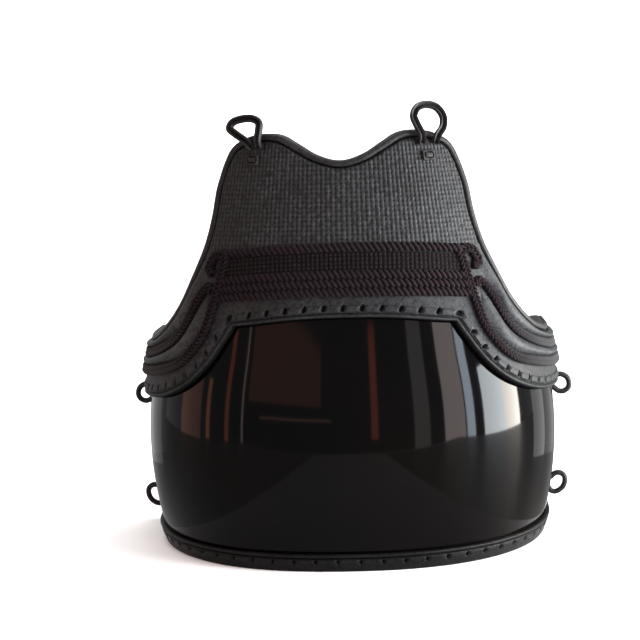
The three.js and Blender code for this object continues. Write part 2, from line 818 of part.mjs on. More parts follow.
// Small loops of round thong at the back edges, each standing out from the body's side
function makeSideLoop(side, name, height, loopHeight, reach) {
  const arc = side * (BACK_ARC - SIDE_LOOP_FROM_BACK);
  const points = SIDE_LOOP.map(([rise, out]) => {
    return onBody(arc, height + rise * loopHeight, SEAT_GAP + out * reach);
  });
  const path = new THREE.CatmullRomCurve3(points, false, 'centripetal');
  const geometry = new THREE.ExtrudeGeometry(strapSection(THONG, THONG), { steps: THONG_STEPS, extrudePath: path });
  addPiece(name, geometry, blackLeather);
}

makeShell();
makeHem();
makeHemLace();
makeChestPad();
makeRimBinding();
makePadBead();
makeChestLace();
makeBand();
for (const [side, name] of [[-1, 'left'], [1, 'right']]) {
  makeWingCords(side, name);
  makeRibs(side, name);
  makeShoulderStub(side, name);
}
makeShoulderLoop(-1, 'left', FLOPPED_LOOP);
makeShoulderLoop(1, 'right', UPRIGHT_LOOP);
for (const [side, name, height, loopHeight, reach] of SIDE_LOOPS) {
  makeSideLoop(side, name, height, loopHeight, reach);
}

// The origin is under the middle of the whole part, on the level that the hem stands on.
const wholeBox = new THREE.Box3().setFromObject(group);
group.position.y = -(wholeBox.min.y + wholeBox.max.y) / 2;

export default group;
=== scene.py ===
# %% [markdown]
# # A kendo chest protector
# A do is the chest protector of kendo armour. It has a moulded, lacquered body, and over its
# upper half a leather chest that is stitched, corded and laced. The hard forms are fixed in the
# frame that is loaded here. Each lesson below gives one of them its real surface.

# %% Load the frame
import math

import bpy
import numpy as np
from mathutils import Matrix, Vector


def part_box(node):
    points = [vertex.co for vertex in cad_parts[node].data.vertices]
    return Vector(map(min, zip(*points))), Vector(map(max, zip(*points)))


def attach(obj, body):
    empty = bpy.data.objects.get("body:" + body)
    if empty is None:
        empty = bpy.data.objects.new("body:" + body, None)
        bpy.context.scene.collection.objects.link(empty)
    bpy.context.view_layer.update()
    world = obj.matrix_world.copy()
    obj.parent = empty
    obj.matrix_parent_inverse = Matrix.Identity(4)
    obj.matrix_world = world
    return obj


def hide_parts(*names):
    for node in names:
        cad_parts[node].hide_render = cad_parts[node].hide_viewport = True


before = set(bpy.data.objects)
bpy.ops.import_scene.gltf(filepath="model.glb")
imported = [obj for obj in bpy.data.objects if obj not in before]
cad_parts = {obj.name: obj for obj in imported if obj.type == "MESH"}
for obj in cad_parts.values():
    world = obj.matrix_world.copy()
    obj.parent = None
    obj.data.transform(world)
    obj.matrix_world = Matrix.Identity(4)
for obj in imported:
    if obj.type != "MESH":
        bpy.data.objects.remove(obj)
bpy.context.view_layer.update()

# %% [markdown]
# ## The camera
# The photographer stood a little to the right of the middle, 1.5 m from its front and level with
# its shoulders, with a long lens that looks a little down. A camera's own axes are right, up and
# backwards, so the three turns are written as those three directions. No depth of field is used.

# %% Camera
CAMERA_PLACE = Vector((0.0524, -1.6631, 0.3943))
CAMERA_TURN = math.radians(-2.684)
CAMERA_DIP = math.radians(6.173)
CAMERA_ROLL = math.radians(-1.701)
CAMERA_LENS = 99.43

forward = Vector((
    math.sin(CAMERA_TURN) * math.cos(CAMERA_DIP),
    math.cos(CAMERA_TURN) * math.cos(CAMERA_DIP),
    -math.sin(CAMERA_DIP),
))
level_right = Vector((math.cos(CAMERA_TURN), -math.sin(CAMERA_TURN), 0))
level_up = level_right.cross(forward)
right = math.cos(CAMERA_ROLL) * level_right + math.sin(CAMERA_ROLL) * level_up
up = right.cross(forward)

bpy.ops.object.camera_add()
camera = bpy.context.object
camera.data.lens = CAMERA_LENS
camera_axes = Matrix((right, up, -forward)).transposed().to_4x4()
camera.matrix_world = Matrix.Translation(CAMERA_PLACE) @ camera_axes
bpy.context.scene.camera = camera
print("camera looks along", [round(v, 3) for v in forward])

# %% [markdown]
# ## The form of the body
# Every piece lies on one form, so the form is written first. Seen from above it is a quarter of a
# rounded oval on each side, then a short straight run to the back edge. Seen from the side it is
# round at the belly, and it leans back in a straight line over the chest. A place on it is an arc
# round the body, a height, and a distance out of the lacquered surface.

# %% Form of the body
HALF_WIDTH = 0.200
DEPTH = 0.218
PLAN_POWER = 2.28
BACK_RUN = 0.040
BELLY_HEIGHT = 0.100
BELLY_RADIUS = 0.334
CHEST_LEAN = 0.2625
STRAIGHT_FROM = BELLY_HEIGHT + CHEST_LEAN * BELLY_RADIUS
FRONT_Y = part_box("body_shell")[1].y - DEPTH - BACK_RUN

oval_angle = np.linspace(0, math.pi / 2, 3000)
OVAL_X = HALF_WIDTH * np.sin(oval_angle) ** (2 / PLAN_POWER)
OVAL_Y = DEPTH * (1 - np.abs(np.cos(oval_angle)) ** (2 / PLAN_POWER))
OVAL_ARC = np.concatenate([[0], np.cumsum(np.hypot(np.diff(OVAL_X), np.diff(OVAL_Y)))])
SIDE_ARC = OVAL_ARC[-1]
BACK_ARC = SIDE_ARC + BACK_RUN


def plan_at(arc):
    """The widest plan curve at an arc, and its outward direction."""
    run = np.abs(arc)
    side = np.where(arc < 0, -1.0, 1.0)
    x = np.interp(run, OVAL_ARC, OVAL_X)
    y = np.interp(run, OVAL_ARC, OVAL_Y) + np.maximum(run - SIDE_ARC, 0)
    across = (x / HALF_WIDTH) ** (PLAN_POWER - 1) / HALF_WIDTH
    back = -np.maximum(0, 1 - y / DEPTH) ** (PLAN_POWER - 1) / DEPTH
    length = np.hypot(across, back)
    return side * x, y, side * across / length, back / length


def on_body(arc, height, out):
    """Points on the body from arcs, heights and distances out of its surface."""
    x, y, across, back = plan_at(arc)
    bowed = (np.minimum(height, STRAIGHT_FROM) - BELLY_HEIGHT) ** 2 / (2 * BELLY_RADIUS)
    lean = bowed + np.maximum(0, height - STRAIGHT_FROM) * CHEST_LEAN
    offset = out - lean
    return np.stack([x + across * offset, FRONT_Y + y + back * offset, height + 0 * x], axis=-1)


def surface_slopes(arc, height):
    """How a place moves for each unit of arc, and for each unit of height."""
    small = 0.0005
    by_arc = on_body(arc + small, height, 0) - on_body(arc - small, height, 0)
    by_height = on_body(arc, height + small, 0) - on_body(arc, height - small, 0)
    return by_arc / (2 * small), by_height / (2 * small)


def sideways(arc, height, d_arc, d_height, distance):
    """Moves places on the body by a real distance, to the left of a direction on it."""
    round_size, up_size = (np.linalg.norm(slope, axis=-1) for slope in surface_slopes(arc, height))
    along_round = d_arc * round_size
    along_up = d_height * up_size
    length = np.hypot(along_round, along_up)
    return (
        arc - along_up / length * distance / round_size,
        height + along_round / length * distance / up_size,
    )


print("arc to the back edge", round(float(BACK_ARC), 4))

# %% [markdown]
# ## The lines on the body
# Two lines bound the leather chest: the rim with its neckline and armholes, and the lower edge
# that drops at two corners to the wings. Both are smooth curves through a few rows. They share a
# value called along: 0 at the front centre, 1 at the right back edge and -1 at the left one, so a
# straight rib line joins the two at each value. Across runs from 0 at the lower edge to 1 at the rim.

# %% Rim and lower edge
SHOULDER_HEIGHT = 0.3915
SHOULDER_ARC = 0.096
NECK_DROP = 0.0255
ARMHOLE_HEIGHT = 0.200
PAD_FRONT_HEIGHT = 0.227
PAD_CORNER_ARC = 0.111
PAD_CORNER_DROP = 0.0075
PAD_SIDE_HEIGHT = 0.142
# Share of the shoulder's arc, share of the neck's drop over the lowest place.
NECKLINE = [(0, 0), (0.25, 0.2), (0.5, 0.6), (0.73, 0.92), (1, 1)]
# Share of the arc from shoulder to back edge, share of the height over the armhole.
ARMHOLE = [
    (0.1, 0.982), (0.192, 0.925), (0.242, 0.761), (0.244, 0.607), (0.26, 0.478), (0.306, 0.334),
    (0.371, 0.18), (0.47, 0.072), (0.613, 0.018), (0.798, 0.005), (1, 0),
]
# Share of the corner's arc, share of the corner's drop.
FRONT_EDGE = [(0, 0), (0.22, 0.03), (0.42, 0.18), (0.6, 0.4), (0.76, 0.66), (0.885, 0.85), (1, 1)]
# Share of the arc from corner to back edge, share of the height over the side.
WING_EDGE = [
    (0, 1), (0.019, 0.893), (0.041, 0.792), (0.072, 0.644), (0.117, 0.477), (0.179, 0.318),
    (0.26, 0.188), (0.392, 0.074), (0.674, 0.013), (1, 0),
]


def spline(rows, share):
    """A smooth curve through rows, at shares of its number of rows."""
    rows = np.asarray(rows, float)
    points = np.vstack([2 * rows[0] - rows[1], rows, 2 * rows[-1] - rows[-2]])
    place = np.clip(share, 0, 1) * (len(rows) - 1)
    row = np.minimum(place.astype(int), len(rows) - 2)
    w = (place - row)[:, None]
    a, b, c, d = points[row], points[row + 1], points[row + 2], points[row + 3]
    ab, bc, cd = (np.sqrt(np.linalg.norm(step, axis=1))[:, None] for step in (b - a, c - b, d - c))
    leaving = ((b - a) / ab - (c - a) / (ab + bc) + (c - b) / bc) * bc
    arriving = ((c - b) / bc - (d - b) / (bc + cd) + (d - c) / cd) * bc
    return (
        b + leaving * w
        + (3 * (c - b) - 2 * leaving - arriving) * w ** 2
        + (2 * (b - c) + leaving + arriving) * w ** 3
    )


def mirrored(rows):
    """Rows of the right side, with their mirror image before them."""
    return [(-arc, height) for arc, height in reversed(rows[1:])] + list(rows)


def to_the_back(rows, first_arc, low, high):
    """Rows of shares as arcs from a first one to the back edge, and heights from low to high."""
    return [(first_arc + arc * (BACK_ARC - first_arc), low + rise * (high - low)) for arc, rise in rows]


RIM_ROWS = [(arc * SHOULDER_ARC, SHOULDER_HEIGHT - NECK_DROP * (1 - rise)) for arc, rise in NECKLINE]
RIM_ROWS += to_the_back(ARMHOLE, SHOULDER_ARC, ARMHOLE_HEIGHT, SHOULDER_HEIGHT)
CORNER_HEIGHT = PAD_FRONT_HEIGHT - PAD_CORNER_DROP
FRONT_ROWS = [
    (arc * PAD_CORNER_ARC, PAD_FRONT_HEIGHT - drop * PAD_CORNER_DROP) for arc, drop in FRONT_EDGE
]
WING_ROWS = to_the_back(WING_EDGE, PAD_CORNER_ARC, PAD_SIDE_HEIGHT, CORNER_HEIGHT)
CORNER_ALONG = (len(FRONT_ROWS) - 1) / (len(RIM_ROWS) - 1)


def rim_at(along):
    """Arcs and heights of the rim."""
    return spline(mirrored(RIM_ROWS), (along + 1) / 2).T


def pad_edge_at(along):
    """Arcs and heights of the pad's lower edge."""
    run = np.abs(along)
    front = spline(mirrored(FRONT_ROWS), (along / CORNER_ALONG + 1) / 2)
    wing = spline(WING_ROWS, (run - CORNER_ALONG) / (1 - CORNER_ALONG))
    wing[:, 0] *= np.where(along < 0, -1, 1)
    return np.where((run <= CORNER_ALONG)[:, None], front, wing).T


def on_pad(along, across):
    """Arcs and heights of places on the pad."""
    low_arc, low_height = pad_edge_at(along)
    rim_arc, rim_height = rim_at(along)
    return low_arc + (rim_arc - low_arc) * across, low_height + (rim_height - low_height) * across


print("corner of the lower edge at along", round(CORNER_ALONG, 3))

# %% [markdown]
# ## Routes
# Cords, beads and laces are made flat, as they are braided or cut on a bench, and are then laid
# along a line on the body. A route knows the line's real length at each place and its direction
# there. The direction can be evened out over a short run, so that a strip fans out smoothly round
# a corner.

# %% Routes and laying


def route_of(arc, height, evened=0.0):
    """A line on the body as lengths, places and directions."""
    points = on_body(arc, height, 0)
    length = np.concatenate([[0], np.cumsum(np.linalg.norm(np.diff(points, axis=0), axis=1))])
    even = np.linspace(0, length[-1], 1600)
    arc, height = np.interp(even, length, arc), np.interp(even, length, height)
    d_arc, d_height = np.gradient(arc, even), np.gradient(height, even)
    if evened:
        width = 2 * int(evened / 2 / even[1]) + 1
        window = np.hanning(width + 2)[1:-1]
        window /= window.sum()
        d_arc, d_height = (
            np.convolve(np.pad(slope, width // 2, mode="edge"), window, mode="valid")
            for slope in (d_arc, d_height)
        )
    return {"length": even, "arc": arc, "height": height, "d_arc": d_arc, "d_height": d_height}


def beside(route, run, side):
    """Arcs and heights at lengths along a route and distances to its left."""
    arc, height, d_arc, d_height = (
        np.interp(run, route["length"], route[key]) for key in ("arc", "height", "d_arc", "d_height")
    )
    return sideways(arc, height, d_arc, d_height, side)


def points_of(piece):
    flat = np.empty(len(piece.data.vertices) * 3)
    piece.data.vertices.foreach_get("co", flat)
    return flat.reshape(-1, 3)


def put_points(piece, points):
    piece.data.vertices.foreach_set("co", points.astype(np.float32).ravel())
    piece.data.update()


def lay_along(piece, route, base=0.0):
    """Lays a flat piece along a route: x is its length, y its width and z its thickness."""
    run, side, out = points_of(piece).T
    arc, height = beside(route, run, side)
    put_points(piece, on_body(arc, height, base + out))


print("the rim is", round(float(route_of(*rim_at(np.linspace(-1, 1, 400)))["length"][-1]), 3), "m long")

# %% [markdown]
# ## Bench work
# These few helpers stand for the hand work that repeats: clear the bench, start a flat sheet of
# square cells, finish a piece with a modifier, repeat a unit in a row, and hand a piece over to
# the frame with its finish. Everything is deselected before each new start, because an operator
# acts on all that is selected.

# %% Bench helpers


def mode(name):
    bpy.ops.object.mode_set(mode=name)


def clear_bench():
    bpy.ops.object.select_all(action="DESELECT")


def pick(piece):
    clear_bench()
    piece.select_set(True)
    bpy.context.view_layer.objects.active = piece


def named(name):
    piece = bpy.context.object
    piece.name = name
    piece.data.name = name
    return piece


def flat_sheet(name, columns, rows):
    """A flat sheet of unit size with its corner at the origin."""
    clear_bench()
    bpy.ops.mesh.primitive_grid_add(x_subdivisions=columns, y_subdivisions=rows, size=1, calc_uvs=True)
    piece = named(name)
    points = points_of(piece)
    points[:, :2] += 0.5
    put_points(piece, points)
    return piece


def select_where(piece, chosen, kind="VERT"):
    """Leaves a piece in edit mode with only the chosen parts of its mesh selected."""
    pick(piece)
    mode("EDIT")
    bpy.ops.mesh.select_mode(type=kind)
    bpy.ops.mesh.select_all(action="DESELECT")
    mode("OBJECT")
    parts = {"VERT": piece.data.vertices, "EDGE": piece.data.edges, "FACE": piece.data.polygons}
    parts[kind].foreach_set("select", np.asarray(chosen, bool))
    mode("EDIT")


def face_outwards(piece):
    pick(piece)
    mode("EDIT")
    bpy.ops.mesh.select_all(action="SELECT")
    bpy.ops.mesh.normals_make_consistent(inside=False)
    mode("OBJECT")


def finish_with(piece, kind, **settings):
    pick(piece)
    bpy.ops.object.modifier_add(type=kind)
    modifier = piece.modifiers[-1]
    for key, value in settings.items():
        setattr(modifier, key, value)
    bpy.ops.object.modifier_apply(modifier=modifier.name)


def repeat(piece, count, step, joined=False):
    """Copies a unit in a row, each copy one step further."""
    finish_with(
        piece, "ARRAY", count=count, use_relative_offset=False, use_constant_offset=True,
        constant_offset_displace=step, use_merge_vertices=joined, merge_threshold=1e-6,
    )


def smooth(piece, angle=None):
    pick(piece)
    if angle is None:
        bpy.ops.object.shade_smooth()
    else:
        bpy.ops.object.shade_smooth_by_angle(angle=math.radians(angle))


def hand_over(piece, nodes, finish):
    """Gives a piece its finish and its place in the frame."""
    piece.data.materials.clear()
    piece.data.materials.append(finish)
    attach(piece, "root")
    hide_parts(*nodes)
    print(piece.name, len(piece.data.polygons), "faces for", ", ".join(nodes))


# %% [markdown]
# ## Finishes
# The body is black lacquer with a mirror gloss, so its colour is almost nothing and its look is
# in what it reflects. The leathers are dyed charcoal, with a fine pebbled grain, creases and small
# dark specks: the chest is the palest, plain hide is darker, and the hem is nearly black. The plain
# hide is the chest's own hide, painted darker as shade. Holes, grooves, folds and the low places
# between pillows, ridges and ribs are painted dark as shade, by a stored value on each sheet. The
# cords are near-black cotton with a little brown in it, and grey where a value called worn says so.

# %% Finishes
LACQUER_COLOUR = (0.0006, 0.0006, 0.0007, 1)
LACQUER_WARM = (0.0011, 0.0007, 0.0006, 1)
LACQUER_GLOSS = 0.045
LEATHER_DARK = (0.0110, 0.0122, 0.0128, 1)
LEATHER_PALE = (0.0250, 0.0272, 0.0295, 1)
# Painted shade: the chest's own hide again, darker, for the plain sheet and its thong.
PLAIN_SHADED_DARK = (0.0068, 0.0075, 0.0080, 1)
PLAIN_SHADED_PALE = (0.0155, 0.0168, 0.0182, 1)
EDGE_DARK = (0.0058, 0.0058, 0.0061, 1)
EDGE_PALE = (0.0150, 0.0149, 0.0157, 1)
HEM_DARK = (0.0018, 0.0018, 0.0020, 1)
HEM_PALE = (0.0050, 0.0051, 0.0055, 1)
# The colour of painted shade in holes, grooves, folds and other recesses.
PAINTED_SHADE_COLOUR = (0.0010, 0.0009, 0.0009, 1)
COTTON_DARK = (0.0020, 0.0012, 0.0016, 1)
COTTON_PALE = (0.0115, 0.0064, 0.0088, 1)
COTTON_WORN = (0.0215, 0.0213, 0.0219, 1)
# Specks take up to three quarters of a leather's colour to 0.4 of its dark tone.
SPECK_SHARE, SPECK_DARK = (0.75, 0.75, 0.75, 1), 0.4


class Finish:
    """A material's nodes, with short ways to add and join them."""

    def __init__(self, name):
        self.material = bpy.data.materials.new(name)
        self.material.use_nodes = True
        self.tree = self.material.node_tree
        self.shader = self.tree.nodes["Principled BSDF"]

    def node(self, kind, **values):
        node = self.tree.nodes.new(kind)
        for key, value in values.items():
            if key in node.inputs:
                node.inputs[key].default_value = value
            else:
                setattr(node, key, value)
        return node

    def join(self, output, target):
        self.tree.links.new(output, target)

    def feed(self, name, value):
        """Gives an input of the shader a node's output, or else one value."""
        if isinstance(value, bpy.types.NodeSocket):
            self.join(value, self.shader.inputs[name])
        else:
            self.shader.inputs[name].default_value = value

    def noise(self, scale, detail=2.0, roughness=0.5):
        place = self.node("ShaderNodeTexCoord")
        noise = self.node("ShaderNodeTexNoise", Scale=scale, Detail=detail, Roughness=roughness)
        self.join(place.outputs["Object"], noise.inputs["Vector"])
        return noise.outputs["Fac"]

    def blend(self, factor, dark, pale, low=0.0, high=1.0):
        ramp = self.node("ShaderNodeValToRGB")
        ramp.color_ramp.elements[0].position = low
        ramp.color_ramp.elements[0].color = dark
        ramp.color_ramp.elements[1].position = high
        ramp.color_ramp.elements[1].color = pale
        self.join(factor, ramp.inputs["Fac"])
        return ramp.outputs["Color"]

    def mixed(self, factor, first, second):
        mix = self.node("ShaderNodeMix", data_type="RGBA")
        self.join(factor, mix.inputs["Factor"])
        self.join(first, mix.inputs["A"])
        if isinstance(second, tuple):
            mix.inputs["B"].default_value = second
        else:
            self.join(second, mix.inputs["B"])
        return mix.outputs["Result"]

    def between(self, factor, low, high, start=0.0, end=1.0):
        span = self.node("ShaderNodeMapRange")
        for key, value in (("From Min", start), ("From Max", end), ("To Min", low), ("To Max", high)):
            span.inputs[key].default_value = value
        self.join(factor, span.inputs["Value"])
        return span.outputs["Result"]

    def bump(self, height, distance, strength=1.0, under=None):
        bump = self.node("ShaderNodeBump", Distance=distance, Strength=strength)
        self.join(height, bump.inputs["Height"])
        if under is not None:
            self.join(under, bump.inputs["Normal"])
        return bump.outputs["Normal"]

    def stored(self, name):
        return self.node("ShaderNodeAttribute", attribute_name=name).outputs["Fac"]


def lacquer_finish():
    finish = Finish("black_lacquer")
    cloud = finish.noise(9.0, 3.0)
    finish.feed("Base Color", finish.blend(cloud, LACQUER_COLOUR, LACQUER_WARM, 0.35, 0.75))
    finish.feed("Roughness", finish.between(finish.noise(60.0, 4.0), 0.045, 0.075))
    finish.feed("Normal", finish.bump(finish.noise(14.0, 1.0), 0.00035, 0.25))
    finish.feed("Specular IOR Level", LACQUER_GLOSS)
    return finish.material


def leather_finish(name, dark, pale, roughness, gloss, grain=900.0, relief=0.00022):
    """Dyed hide: a cloudy tone, specks, painted shade in its recesses, and a grain of pebbles and
    creases.
    """
    finish = Finish(name)
    tone = finish.blend(finish.noise(28.0, 4.0, 0.6), dark, pale, 0.25, 0.8)
    speck = finish.blend(finish.noise(340.0, 2.0, 0.6), (0, 0, 0, 1), SPECK_SHARE, 0.47, 0.60)
    tone = finish.mixed(speck, tone, tuple(SPECK_DARK * value for value in dark[:3]) + (1,))
    # Painted shade: the stored pit value darkens holes, grooves and folds.
    finish.feed("Base Color", finish.mixed(finish.stored("pit"), tone, PAINTED_SHADE_COLOUR))
    place = finish.node("ShaderNodeTexCoord")
    pebble = finish.node("ShaderNodeTexVoronoi", Scale=grain)
    finish.join(place.outputs["Object"], pebble.inputs["Vector"])
    crease = finish.bump(finish.noise(300.0, 4.0, 0.65), 0.0008, 0.7)
    finish.feed("Normal", finish.bump(pebble.outputs["Distance"], relief, 0.55, crease))
    finish.feed("Roughness", finish.between(finish.noise(220.0, 3.0), *roughness))
    finish.feed("Specular IOR Level", gloss)
    return finish.material


def cotton_finish():
    finish = Finish("cotton_cord")
    place = finish.node("ShaderNodeTexCoord")
    threads = finish.node("ShaderNodeTexWave", Scale=7.0, Distortion=1.5, Detail=2.0)
    finish.join(place.outputs["UV"], threads.inputs["Vector"])
    tone = finish.blend(finish.noise(420.0, 3.0, 0.7), COTTON_DARK, COTTON_PALE, 0.3, 0.75)
    tone = finish.mixed(finish.stored("worn"), tone, COTTON_WORN)
    # Painted shade: the stored pit value darkens the gaps between stitches.
    finish.feed("Base Color", finish.mixed(finish.stored("pit"), tone, PAINTED_SHADE_COLOUR))
    fuzz = finish.bump(finish.noise(2600.0, 2.0), 0.00012, 0.6)
    finish.feed("Normal", finish.bump(threads.outputs["Fac"], 0.0002, 0.6, fuzz))
    finish.feed("Roughness", 0.82)
    finish.feed("Specular IOR Level", 0.06)
    finish.feed("Sheen Weight", 0.015)
    finish.feed("Sheen Roughness", 0.5)
    return finish.material


LACQUER = lacquer_finish()
CHEST_LEATHER = leather_finish("chest_hide", LEATHER_DARK, LEATHER_PALE, (0.46, 0.62), 0.10)
# The plain hide is the chest hide painted darker, as shade.
PLAIN_SHADED_LEATHER = leather_finish("plain_hide_shaded", PLAIN_SHADED_DARK, PLAIN_SHADED_PALE, (0.46, 0.62), 0.09)
EDGE_LEATHER = leather_finish("edge_hide", EDGE_DARK, EDGE_PALE, (0.38, 0.54), 0.12)
HEM_LEATHER = leather_finish("hem_hide", HEM_DARK, HEM_PALE, (0.38, 0.54), 0.07)
COTTON = cotton_finish()


def mark(piece, name, values):
    """Stores a value from 0 to 1 at each place of a piece, for its finish to read."""
    attribute = piece.data.attributes.new(name, "FLOAT", "POINT")
    attribute.data.foreach_set("value", np.clip(values, 0, 1).astype(np.float32))


print("finishes:", ", ".join(m.name for m in bpy.data.materials))

# %% [markdown]
# ## The moulded body
# The real body is one sheet of hard resin or lacquered hide, bent round and polished. A faceted
# shell would break up its reflections, so a fine sheet takes the place of the solid: a flat sheet
# of square cells is laid over the form, then thickened inwards to the real wall.

# %% Moulded body
SHELL_WALL = 0.004
SEAT_GAP = 0.0006
BINDING_WIDTH = 0.0065
HEM_WALL = 0.003
# Share of the arc to the back edge at each rib line of the hem.
HEM_ARC = [
    0, 0.064, 0.127, 0.186, 0.244, 0.297, 0.34, 0.372, 0.398, 0.425, 0.467, 0.531, 0.611, 0.704, 0.85, 1,
]


def inside_rim(along, distance):
    """Places inside the rim by a real distance."""
    small = 0.003
    here = rim_at(along)
    back = rim_at(np.maximum(-1, along - small))
    ahead = rim_at(np.minimum(1, along + small))
    return sideways(*here, *(ahead - back), -distance)


def hem_arc_at(along):
    """Arcs of the rib lines where they reach the hem."""
    rows = mirrored([(share * BACK_ARC, 0) for share in HEM_ARC])
    return spline(rows, (along + 1) / 2)[:, 0]


SHELL_COLUMNS, SHELL_ROWS = 280, 64
shell = flat_sheet("moulded_body", SHELL_COLUMNS, SHELL_ROWS)
flat = points_of(shell)
shell_along = 2 * flat[:, 0] - 1
shell_rim_arc, shell_rim_height = inside_rim(shell_along, BINDING_WIDTH + SEAT_GAP)
shell_height = HEM_WALL + SEAT_GAP + flat[:, 1] * (shell_rim_height - HEM_WALL - SEAT_GAP)
shell_arc = hem_arc_at(shell_along) * (1 - flat[:, 1]) + shell_rim_arc * flat[:, 1]
put_points(shell, on_body(shell_arc, shell_height, 0))
finish_with(shell, "SOLIDIFY", thickness=SHELL_WALL, offset=-1)
smooth(shell, 40)
hand_over(shell, ["body_shell"], LACQUER)

# %% [markdown]
# ## The rim binding
# Neckline, shoulders and armholes are bound with a roll of black leather that grips the lacquered
# body and the chest leather together. It is one long bead of the same section, so the section is
# drawn once and drawn out: a flat sheet gets the section's points row by row, its seam is merged,
# and both ends are closed. Laying it along the rim's route then bends it round the shoulders.

# %% Rim binding


def drawn_out(name, columns, section):
    """A closed section of (side, out) points, drawn out along x from 0 to 1."""
    piece = flat_sheet(name, columns, len(section))
    points = points_of(piece)
    loop = np.array(list(section) + [section[0]])
    points[:, 1:] = loop[np.rint(points[:, 1] * len(section)).astype(int)]
    put_points(piece, points)
    pick(piece)
    mode("EDIT")
    bpy.ops.mesh.select_all(action="SELECT")
    bpy.ops.mesh.remove_doubles(threshold=1e-6)
    mode("OBJECT")
    for end in (0, 1):
        select_where(piece, np.abs(points_of(piece)[:, 0] - end) < 1e-6)
        bpy.ops.mesh.edge_face_add()
        mode("OBJECT")
    face_outwards(piece)
    return piece


def round_section(width, low, high, top, foot, steps=4):
    """A rounded section from side 0 to width, with its own corner sizes at the top and the foot."""
    corners = [(foot, low + foot, foot, 180), (width - foot, low + foot, foot, 270),
               (width - top, high - top, top, 0), (top, high - top, top, 90)]
    points = []
    for side, out, radius, start in corners:
        for step in range(steps + 1):
            angle = math.radians(start + 90 * step / steps)
            points.append((side + radius * math.cos(angle), out + radius * math.sin(angle)))
    return points


RIM_COLUMNS = 560
# Distance inside the rim and distance out of the body, in millimetres: a fold runs along the edge.
BINDING_SECTION = [
    (6.5, -3.4), (6.1, -4.3), (5.2, -4.6), (1.3, -4.6), (0.5, -4.2), (0.1, -3.4), (0.0, 0.5), (0.0, 3.6),
    (0.2, 4.5), (0.9, 5.0), (1.2, 5.3), (0.6, 5.6), (0.3, 6.2), (0.4, 7.2), (1.0, 8.1), (2.0, 8.7),
    (3.1, 8.9), (4.3, 8.8), (5.4, 8.3), (6.2, 7.4), (6.5, 6.3), (6.5, 2.0),
]
BINDING_FOLD = (-0.0012, 0.0053)

rim_route = route_of(*rim_at(np.linspace(-1, 1, 4001)), evened=0.004)
binding = drawn_out("rim_roll", RIM_COLUMNS, np.array(BINDING_SECTION) * (-0.001, 0.001))
# Painted shade in the crease of the fold.
from_fold = np.linalg.norm(points_of(binding)[:, 1:] - BINDING_FOLD, axis=1)
mark(binding, "pit", 1 - (from_fold - 0.0002) / 0.0006)
points = points_of(binding)
points[:, 0] *= rim_route["length"][-1]
put_points(binding, points)
lay_along(binding, rim_route)
smooth(binding, 60)
hand_over(binding, ["rim_binding"], EDGE_LEATHER)

# %% [markdown]
# ## The chest leather
# The chest is hide over felt, about 7 mm thick. Its lower edge is rolled, with a sewn groove over
# the roll and a row of slots for the lacing thong. All of that follows the edge, so the sheet's
# first rows lie at real distances from the edge, and the rest fan out to the rim. The height of
# each row comes from a short profile, and each slot is a small slanted pit. Slots, groove, the
# roll's underside and the tuck under the binding are painted dark as shade. The sheet becomes a
# leather wall with Solidify.

# %% Lacing pitch along the edge
LACE_PITCH = 0.0175
FRONT_SPACES = 12
END_SHARE = 0.4

edge_along = np.linspace(-1, 1, 6001)
edge_arc, edge_height = pad_edge_at(edge_along)
edge_route = route_of(edge_arc, edge_height, evened=0.020)
edge_steps = np.linalg.norm(np.diff(on_body(edge_arc, edge_height, 0), axis=0), axis=1)
raw_length = np.concatenate([[0], np.cumsum(edge_steps)])
EDGE_LENGTH = raw_length[-1]
corner_run = float(np.interp(CORNER_ALONG, edge_along, raw_length))
WING_SPACES = round((EDGE_LENGTH - corner_run) / LACE_PITCH - END_SHARE)
EDGE_SPACES = FRONT_SPACES / 2 + WING_SPACES + END_SHARE
phase_rows = [-EDGE_SPACES, -FRONT_SPACES / 2, FRONT_SPACES / 2, EDGE_SPACES]
run_rows = [0, EDGE_LENGTH - corner_run, corner_run, EDGE_LENGTH]
print("lacing slots:", 2 * WING_SPACES + FRONT_SPACES + 1)

# %% Chest leather
PAD_TOP = 0.0070
SLOT_FROM_EDGE = 0.0092
SLOT_WIDTH, SLOT_HEIGHT, SLOT_DEPTH, SLOT_SLANT = 0.0021, 0.0034, 0.0042, 0.28
GROOVE_FROM_EDGE, GROOVE_REACH = 0.0045, 0.0008
END_ROUNDING = 0.0035
COLUMNS_PER_SPACE = 20
FAN_ROWS = 13
# Distance from the lower edge and distance out of the body: the roll, the groove, the flat leather.
EDGE_PROFILE = np.array([
    (0, 0.6), (0.1, 2.2), (0.4, 4.0), (0.9, 5.5), (1.6, 6.6), (2.4, 7.1), (3.1, 7.0), (3.7, 6.5),
    (4.1, 5.7), (4.5, 5.2), (4.9, 5.6), (5.4, 6.3), (6.0, 6.8), (6.8, 7.0),
]) / 1000
SLOT_ROWS = np.arange(7.6, 13.6, 0.75) / 1000
STRIP_ROWS = np.concatenate([EDGE_PROFILE[:, 0], SLOT_ROWS, [0.0150, 0.0175, 0.0205]])
# Distance from the rim and distance out of the body, where the leather tucks under the binding.
RIM_TUCK = np.array([(9.0, 7.0), (8.2, 6.9), (7.6, 6.3), (7.2, 5.2), (6.9, 3.6), (6.2, 2.6)]) / 1000


def slot_depth(along_edge, from_edge, width, height, slant=0.0):
    """How far into a slot each place lies, 0 outside and 1 at the bottom."""
    across = (along_edge - slant * from_edge) / width
    return np.clip(1.35 * (1 - across ** 2 - (from_edge / height) ** 2), 0, 1)


def quarter_round(share):
    """Rises from 0 to 1 like a rounded edge."""
    return np.sqrt(np.clip(1 - (1 - np.minimum(share, 1)) ** 2, 0, 1))


